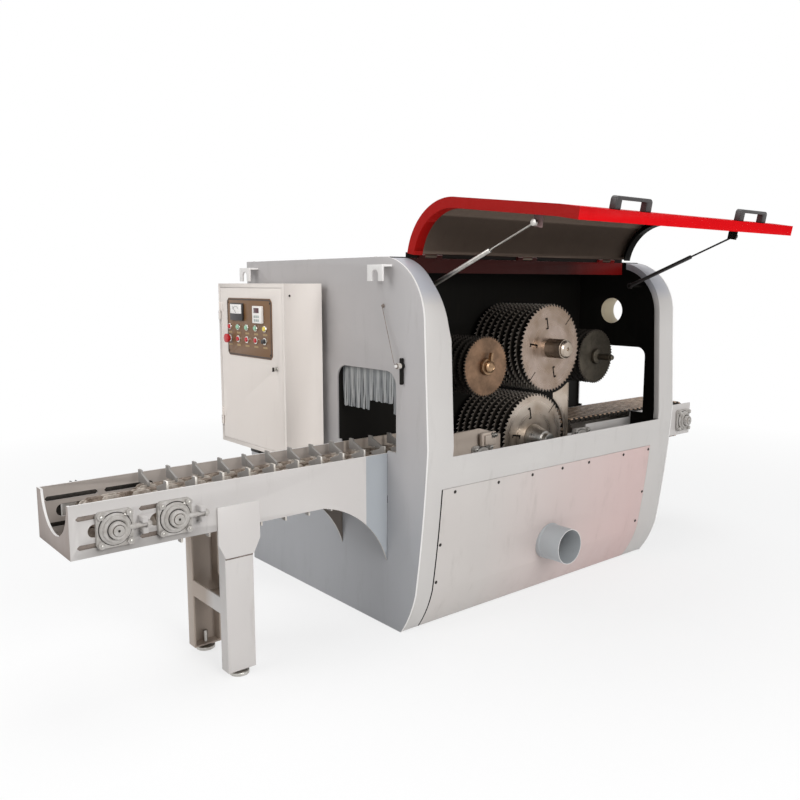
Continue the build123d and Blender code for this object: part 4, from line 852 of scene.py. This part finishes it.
dress("infeed_trough", "light_paint",
      [trough_grey, trough_inside, near_plate_blue_painted_shade, end_board_grey_painted_shade, dusty_tan, pale_scuffs_and_painted_highlights], 1.2, trough_finish,
      cuts=[SHADED_STRIP_X[0], INFEED_INSIDE - 10, INFEED_INSIDE])
dress("outfeed_trough", "light_paint", [trough_grey, trough_inside], 1.2,
      lambda middle, normal: trough_inside if between_walls(middle) else trough_grey)
# A dark strip on the post just under the stand's plate: a painted shadow.
stand_plate_painted_shadow = box_shape((-1532, NEAR_WALL - 0.6, 439), (-1424, NEAR_WALL + 1, 447))
# The stand's top edges are pale: painted highlights.
dress("infeed_stand", "light_paint", [stand_grey_painted_shade, pale_scuffs_and_painted_highlights, dull_steel_and_painted_shade], 1.2,
      lambda middle, normal: pale_scuffs_and_painted_highlights if normal.z > 0.9 and middle.y < NEAR_WALL else stand_grey_painted_shade,
      extras=[(stand_plate_painted_shadow, None, dull_steel_and_painted_shade)])
bearing_finishes = [bearing_grey, plated_steel, black_steel_and_painted_shade]
for name, x in (("idler", IDLER_X), ("tail", TAIL_X)):
    dress(f"{name}_bearing_units", "light_paint", bearing_finishes, 1.6,
          extras=bearing_trim(x, NEAR_WALL, -1) + bearing_trim(x, FAR_WALL, 1))
dress("fixed_bearing_units", "light_paint", bearing_finishes, 1.6,
      extras=bearing_trim(HEAD_X, NEAR_WALL, -1) + bearing_trim(OUT_TAIL_X, NEAR_WALL, -1)
      + bearing_trim(OUT_HEAD_X, NEAR_WALL, -1) + bearing_trim(OUT_HEAD_X, FAR_WALL, 1))
# A black disc on each shaft's end is the centre hole's painted shade.
centre_hole_painted_shade = turned_shape([(-0.5, 4.2), (0.5, 4.2)], 16)
for name, x in SHAFTS.items():
    dress(f"{name}_shaft", "steel", [turned_steel, black_steel_and_painted_shade, bearing_grey], 0.6, shaft_finish,
          extras=[(centre_hole_painted_shade, at(x, -480, SHAFT_Z), black_steel_and_painted_shade)])

# Backing bars let into the side plates behind the bolt slots, dark as painted shade in the slots, and the
# closing sheet under the trough's end
BAR_X = (-2036, -1648)
bars = Piece([dull_steel_and_painted_shade, black_steel_and_painted_shade, trough_inside])
for z in (SHAFT_Z - BOLT_OFFSET, SHAFT_Z + BOLT_OFFSET):
    for y, finish in ((NEAR_WALL + 4, dull_steel_and_painted_shade), (FAR_WALL - 5, black_steel_and_painted_shade)):
        bars.add(box_shape((BAR_X[0], y, z - 10), (BAR_X[1], y + 3, z + 10), 0.5), finish=finish)
bars.add(box_shape((-2045, NEAR_WALL + 7, 553), (-1862, FAR_WALL - 7, 557), 0.8), finish=trough_inside)
bars.finish("trough_backing_bars", "machine", "light_paint")
for node in ("near_levelling_foot", "far_levelling_foot"):
    dress(node, "steel", [plated_steel], 1.2)

# Chains
CHAIN_R, MAT_R = 51.5, 87
PITCH = 51.35
PLAIN_LINKS, FLIGHT_LINKS, SLATS = 70, 62, 62
FLIGHT_TOP = 744


def loop_places(ends, count, y=FEED_Y, first=0.0, radius=CHAIN_R):
    """Places of evenly spaced links round a chain loop, as matrices heading along the run."""
    run = ends[1] - ends[0]
    half_turn = pi * radius
    total = 2 * run + 2 * half_turn
    places = []
    for k in range(count):
        s = (first + k * total / count) % total
        if s < run:
            places.append(at(ends[0] + s, y, SHAFT_Z + radius))
        elif s < run + half_turn:
            a = (s - run) / radius
            places.append(at(ends[1] + radius * sin(a), y, SHAFT_Z + radius * cos(a), degrees(a)))
        elif s < 2 * run + half_turn:
            places.append(at(ends[1] - (s - run - half_turn), y, SHAFT_Z - radius, 180))
        else:
            a = (s - 2 * run - half_turn) / radius
            places.append(at(ends[0] - radius * sin(a), y, SHAFT_Z - radius * cos(a), 180 + degrees(a)))
    return places


def link_plate(y):
    """A chain side plate with round ends."""
    bm = bmesh.new()
    length, thickness, height = 66, 6, 30
    bmesh.ops.create_cube(bm, size=1, matrix=at(0, y, 0) @ Matrix.Diagonal((length, thickness, height, 1)))
    upright = [e for e in bm.edges if abs(e.verts[0].co.y - e.verts[1].co.y) > thickness / 2]
    round_edges(bm, 14, 3, edges=upright)
    return shape_mesh(bm)


# Inner links with their rollers and outer links with their pins, in turn
inner_link = [(link_plate(y), rusty_chain) for y in (-7.2, 7.2)]
outer_link = [(link_plate(y), dusty_chain) for y in (-13.5, 13.5)]
for x in (-PITCH / 2, PITCH / 2):
    inner_link.append((wire_run((x, -4, 0), (x, 4, 0), 10), dusty_chain))
    outer_link.append((wire_run((x, -16, 0), (x, 16, 0), 5), dusty_chain))


def link_chain(name, node, ends, count, strand_ys, first=0.0):
    """A chain of one or more strands, in place of a CAD node."""
    chain = Piece([rusty_chain, dusty_chain])
    for y in strand_ys:
        for k, place in enumerate(loop_places(ends, count, y, first)):
            for shape, finish in outer_link if k % 2 else inner_link:
                chain.add(shape, place, finish)
    chain.finish(name, "machine", "chain_steel", node)


FLIGHT_ENDS = (TAIL_X, HEAD_X)
link_chain("plain_link_chain", "plain_chain", (IDLER_X, HEAD_X), PLAIN_LINKS, [FEED_Y])
link_chain("flight_link_chain", "flight_chain", FLIGHT_ENDS, FLIGHT_LINKS, [FEED_Y - 62, FEED_Y + 62], PITCH)

# V-flights: a pair of tabbed wing plates on every second link, the near ones pale along their edges as
# painted highlights
wing_top = FLIGHT_TOP - SHAFT_Z - CHAIN_R
flights = Piece([flight_grey, bare_steel_wear_and_painted_highlight])
wings = []
for hand, edge_finish in ((-1, bare_steel_wear_and_painted_highlight), (1, flight_grey)):
    wing = Piece(flights.finishes)
    outline = [(hand * 122, 12), (hand * 122, wing_top), (hand * 97, wing_top), (hand * 93, wing_top - 12),
               (hand * 36, wing_top - 32), (hand * 36, 12)]
    face = wing.bm.faces.new([wing.bm.verts.new((-4, y, z)) for y, z in outline])
    grow(wing.bm, [face], (8, 0, 0))
    wing.paint(lambda middle, normal: edge_finish if abs(normal.x) < 0.5 else flight_grey)
    round_edges(wing.bm, 1.0)
    wings.append(shape_mesh(wing.bm))
for place in loop_places(FLIGHT_ENDS, FLIGHT_LINKS, first=PITCH)[1::2]:
    for wing in wings:
        flights.add(wing, place)
flights.finish("feed_flights", "machine", "chain_steel", "chain_flights")

# Outfeed mat: cross slats, each with a bare rib and a dark one; the dark rib and the slat's body are painted
# shade
slat = [(box_shape((-15, -125, -12), (15, 125, 6), 2.0, 1), dark_steel_painted_shade)]
slat += [(box_shape((x - 8, -123, 4), (x + 8, 123, 11.8), 2.0, 1), finish)
         for x, finish in ((9.5, dark_steel_painted_shade), (-9.5, mat_brown))]
mat = Piece([dark_steel_painted_shade, mat_brown])
for place in loop_places((OUT_TAIL_X, OUT_HEAD_X), SLATS, radius=MAT_R):
    for shape, finish in slat:
        mat.add(shape, place, finish)
mat.finish("outfeed_slat_mat", "machine", "chain_steel", "outfeed_chain")

# Strip curtain: narrow soft strips that wave a little, on their rod
STRIPS = 34
STRIP_PITCH = 372 / STRIPS
STRIP_WIDTH = STRIP_PITCH - 1.2
CURTAIN_X, CURTAIN_NEAR, CURTAIN_TOP, CURTAIN_DROP = -786, -473, 1064, 184
curtain = Piece([strip_pale, strip_smoky, plated_steel])
curtain.add(turned_shape([(-482, 5), (-92, 5)], 20), at(CURTAIN_X, 0, CURTAIN_TOP + 2), plated_steel)
for k in range(STRIPS):
    near = CURTAIN_NEAR + k * STRIP_PITCH
    length = (142 if 2 < k < 17 else 182) + 2 * sin(7.9 * k)
    strip = bmesh.new()
    hung = at(CURTAIN_X, near + STRIP_WIDTH / 2, CURTAIN_TOP - length / 2, 90)
    bmesh.ops.create_grid(strip, x_segments=14, y_segments=4, size=0.5,
                          matrix=hung @ Matrix.Diagonal((length, STRIP_WIDTH, 1, 1)))
    for v in strip.verts:
        drop = (CURTAIN_TOP - v.co.z) / CURTAIN_DROP
        across = (v.co.y - near) / STRIP_PITCH
        v.co.x += drop * 3 * sin(2.2 * k + 4.5 * drop) + 1.0 * drop * cos(2 * pi * across + k)
    bmesh.ops.solidify(strip, geom=strip.faces[:], thickness=2.0)
    curtain.add(shape_mesh(strip), finish=(strip_pale, strip_smoky)[(k * 3 // 2) % 2])
curtain.finish("curtain_strips", "curtain", "strip_rubber", "strip_curtain")

# Lever on its peg, with the taut pull wire from its eyelet down to a loop round the peg
EYELET = (-817, -409, 1307)
WIRE_BEND = (-836, -506, 1092)
WIRE_R = 1.2
PEG = (-530, 1084)
dress("swing_lever", "dark_paint", [black_and_painted_shade], 1.2)
pull = Piece([dull_steel_and_painted_shade, bare_steel_wear_and_painted_highlight])
pull.add(turned_shape([(-10, 3), (-9, 4), (-2, 4), (-2, 8), (0, 8)], 16),
         facing_infeed(-810, EYELET[1], EYELET[2] + 3), dull_steel_and_painted_shade)
pull.add(ring_shape([(-2, 6), (-3, 8), (-2, 10), (0, 11), (2, 10), (3, 8), (2, 6), (0, 5)], 20),
         facing_infeed(-842, *PEG), dull_steel_and_painted_shade)
pull.add(wire_run(EYELET, WIRE_BEND, WIRE_R), finish=dull_steel_and_painted_shade)
pull.add(wire_run(WIRE_BEND, (-842, -522, 1086), WIRE_R), finish=dull_steel_and_painted_shade)
pull.add(ring_shape([(0, 8), (0, 11), (-8, 11), (-9, 10), (-9, 7), (-8, 6.3), (0, 6.3)], 24),
         facing_infeed(-825, *PEG), bare_steel_wear_and_painted_highlight)
pull.finish("lever_pull_wire", "machine", "steel")

# Casting with its bolts beside the head shaft, seen inside the window
cap = Piece([dusty_tan, plated_steel])
cap.add(box_shape((-310, -466, 692), (-222, -447, 752), 5), finish=dusty_tan)
cap.add(box_shape((-300, -478, 700), (-262, -464, 742), 4), finish=dusty_tan)
for x in (-250, -234):
    cap.add(bolt_head, at(x, -466, 738, x), plated_steel)
    cap.add(stud, at(x, -466, 738), plated_steel)
cap.finish("head_bearing_cap", "machine", "light_paint")


# Cabinet
PANEL_X = -1026
PANEL_Y = (80, 474)
PANEL_Z = (1073, 1332)
COLUMNS = (447, 370, 292, 213, 136)
LAMP_Z, BUTTON_Z = 1203, 1150
LEGEND_ZS = (1177, 1122)
LOCK = Vector((-1029, 49, 1038))
METER_Y, METER_Z = 374, 1262

cable_entry = box_shape((-1012, 238, 641), (-950, 316, 660.5), 4)
dress("cabinet_box", "cream_paint", [cabinet_cream, black_steel_and_painted_shade], 1.0,
      extras=[(screw_head, at(-996, -18, 1346) @ Matrix.Scale(0.7, 4), black_steel_and_painted_shade),
              (cable_entry, None, black_steel_and_painted_shade)])
dress("cabinet_door", "cream_paint", [cabinet_cream], 1.4)

bezel = ring_shape([(0.3, 15.5), (-4, 15.5), (-6, 14), (-6, 10.6), (0.3, 10.6)], 28)
legend = box_shape((PANEL_X - 0.5, -17, -4), (PANEL_X + 0.3, 17, 4), 0.3, 1)
border = frame_shape((PANEL_Y[1] - PANEL_Y[0]) / 2 - 3, (PANEL_Z[1] - PANEL_Z[0]) / 2 - 3, corner=12,
                     width=7, depth=-0.9)
panel_trim = [(border, facing_infeed(PANEL_X + 0.3, sum(PANEL_Y) / 2, sum(PANEL_Z) / 2), panel_border)]
for y in COLUMNS:
    panel_trim += [(legend, at(0, y, z), legend_tan) for z in LEGEND_ZS]
    panel_trim.append((bezel, facing_infeed(PANEL_X, y, BUTTON_Z), bright_chrome))
for y in (PANEL_Y[0] + 12, PANEL_Y[1] - 12):
    for z in (PANEL_Z[0] + 20, PANEL_Z[1] - 20):
        panel_trim.append((screw_head, facing_infeed(PANEL_X - 0.5, y, z) @ Matrix.Scale(0.6, 4), black_steel_and_painted_shade))
dress("control_panel", "panel_brown", [panel_brown, panel_border, legend_tan, bright_chrome, black_steel_and_painted_shade], 0.6,
      extras=panel_trim)
for node in ("emergency_stop", "stop_button_1", "stop_button_2", "stop_button_3"):
    dress(node, "red_plastic", [red_plastic], 1.6)
dress("selector_knob", "black_plastic", [black_plastic], 1.6)
key = box_shape(LOCK + Vector((-8, -1.5, -6)), LOCK + Vector((1, 1.5, 6)), 0.8)
key_bow = box_shape(LOCK + Vector((-17, -2, -10)), LOCK + Vector((-7, 2, 8)), 1.2)
dress("door_lock", "steel", [plated_steel, black_steel_and_painted_shade], 1.6,
      extras=[(key, None, plated_steel), (key_bow, None, black_steel_and_painted_shade)])


def on_panel(low, high, back, front, rounding):
    """A box on the control panel between two (y, z) corners and two distances from the panel."""
    return box_shape((PANEL_X - front, *low), (PANEL_X - back, *high), rounding)


# Ammeter with its needle and scale, display with its keys, and pilot lamps
lamp = turned_shape([(-12, 6), (-10.5, 9), (-8, 10.5), (0, 10.5)], 24)
lamp_bezel = ring_shape([(0, 14.5), (-4, 14.5), (-6, 13.2), (-6, 10.6), (0, 10.6)], 24)
lamp_finishes = (red_plastic, *[green_plastic] * 3, yellow_plastic)
meters = Piece([black_plastic, white_plastic, screen_glass, keypad_grey, red_plastic, green_plastic,
                yellow_plastic, bright_chrome])
meters.add(on_panel((318, 1232), (430, 1309), 0, 10, 2.0), finish=black_plastic)
meters.add(on_panel((324, 1263), (424, 1304), 9, 10.8, 0.5), finish=white_plastic)
needle = [(PANEL_X - 11, METER_Y + r, METER_Z + 4 + r) for r in (0, 28)]
meters.add(wire_run(*needle, 0.8), finish=black_plastic)
for k in range(9):
    turn = radians(40 + 12.5 * k)
    tick = [(PANEL_X - 10.9, METER_Y + r * cos(turn), METER_Z + r * sin(turn)) for r in (30, 36)]
    meters.add(wire_run(*tick, 0.7), finish=black_plastic)
meters.add(on_panel((146, 1226), (221, 1300), 0, 14, 2.5), finish=white_plastic)
meters.add(on_panel((162, 1270), (206, 1292), 13, 14.8, 0.5), finish=screen_glass)
for z in (1233, 1249):
    for y in (162, 178, 194):
        meters.add(on_panel((y, z), (y + 12, z + 11), 13, 15.2, 1.0), finish=keypad_grey)
for y, glow in zip(COLUMNS, lamp_finishes):
    meters.add(lamp, facing_infeed(PANEL_X, y, LAMP_Z), glow)
    meters.add(lamp_bezel, facing_infeed(PANEL_X, y, LAMP_Z), bright_chrome)
meters.finish("panel_meters_and_lamps", "door", "black_plastic", "panel_instruments")


# Camera, floor and light
camera = put("camera", bpy.data.cameras.new("camera"))
camera.matrix_world = aimed((-2.797, -2.929, 1.400), (0.6283, 0.7648, -0.1426), "-Z")
camera.data.sensor_width = 36
camera.data.lens = 36.675
scene.camera = camera


def background_rays(tree):
    """One where the camera, a reflection or clear vinyl sees the background, nought for other light."""
    rays = tree.nodes.new("ShaderNodeLightPath")
    seen = rays.outputs["Is Camera Ray"]
    for kind in ("Is Glossy Ray", "Is Transmission Ray"):
        seen = add_node(tree, "Math", {0: seen, 1: rays.outputs[kind]}, operation="MAXIMUM")
    return seen


floor_paint, floor_tree, floor_shader, floor_where = start_material("matt_white_studio_floor")
feed(floor_shader, {"Base Color": linear("F2F2F2"), "Roughness": 0.9})
white = add_node(floor_tree, "Emission", {"Color": linear("FFFFFF")})
away = add_node(floor_tree, "VectorMath", {0: floor_where}, "Value", operation="LENGTH")
fade = add_node(floor_tree, "MapRange", {"Value": away, "From Min": 1.5, "From Max": 5.0, "To Min": 0.7})
seen = add_node(floor_tree, "Math", {0: background_rays(floor_tree), 1: fade}, operation="MULTIPLY")
blended = add_node(floor_tree, "MixShader", {0: seen, 1: floor_shader.outputs[0], 2: white})
feed(floor_tree.nodes["Material Output"], {"Surface": blended})
bm = bmesh.new()
bmesh.ops.create_grid(bm, x_segments=1, y_segments=1, size=40)
floor_mesh = shape_mesh(bm, "studio_floor")
floor_mesh.materials.append(floor_paint)
floor = put("studio_floor", floor_mesh)
floor.location.z = -0.001

scene.world = bpy.data.worlds.new("studio")
scene.world.use_nodes = True
sky_tree = scene.world.node_tree
sky = sky_tree.nodes["Background"]
feed(sky, {"Color": linear("F4F6F8"), "Strength": 0.38})
backdrop = add_node(sky_tree, "Background", {"Color": linear("FFFFFF")})
both = add_node(sky_tree, "MixShader", {0: background_rays(sky_tree), 1: sky.outputs[0], 2: backdrop})
feed(sky_tree.nodes["World Output"], {"Surface": both})


def soft_light(name, place, size, power):
    """A square studio softbox, turned to the middle of the machine."""
    light = bpy.data.lights.new(name, "AREA")
    light.size = size
    light.energy = power
    put(name, light).matrix_world = aimed(place, Vector((0, 0, 0.8)) - Vector(place), "-Z")


soft_light("key_softbox", (-1.2, -5.9, 3.0), 3.0, 218)
soft_light("end_softbox", (-5.0, 0.5, 3.5), 3.0, 105)
soft_light("top_softbox", (0, 0, 6.0), 4.0, 110)
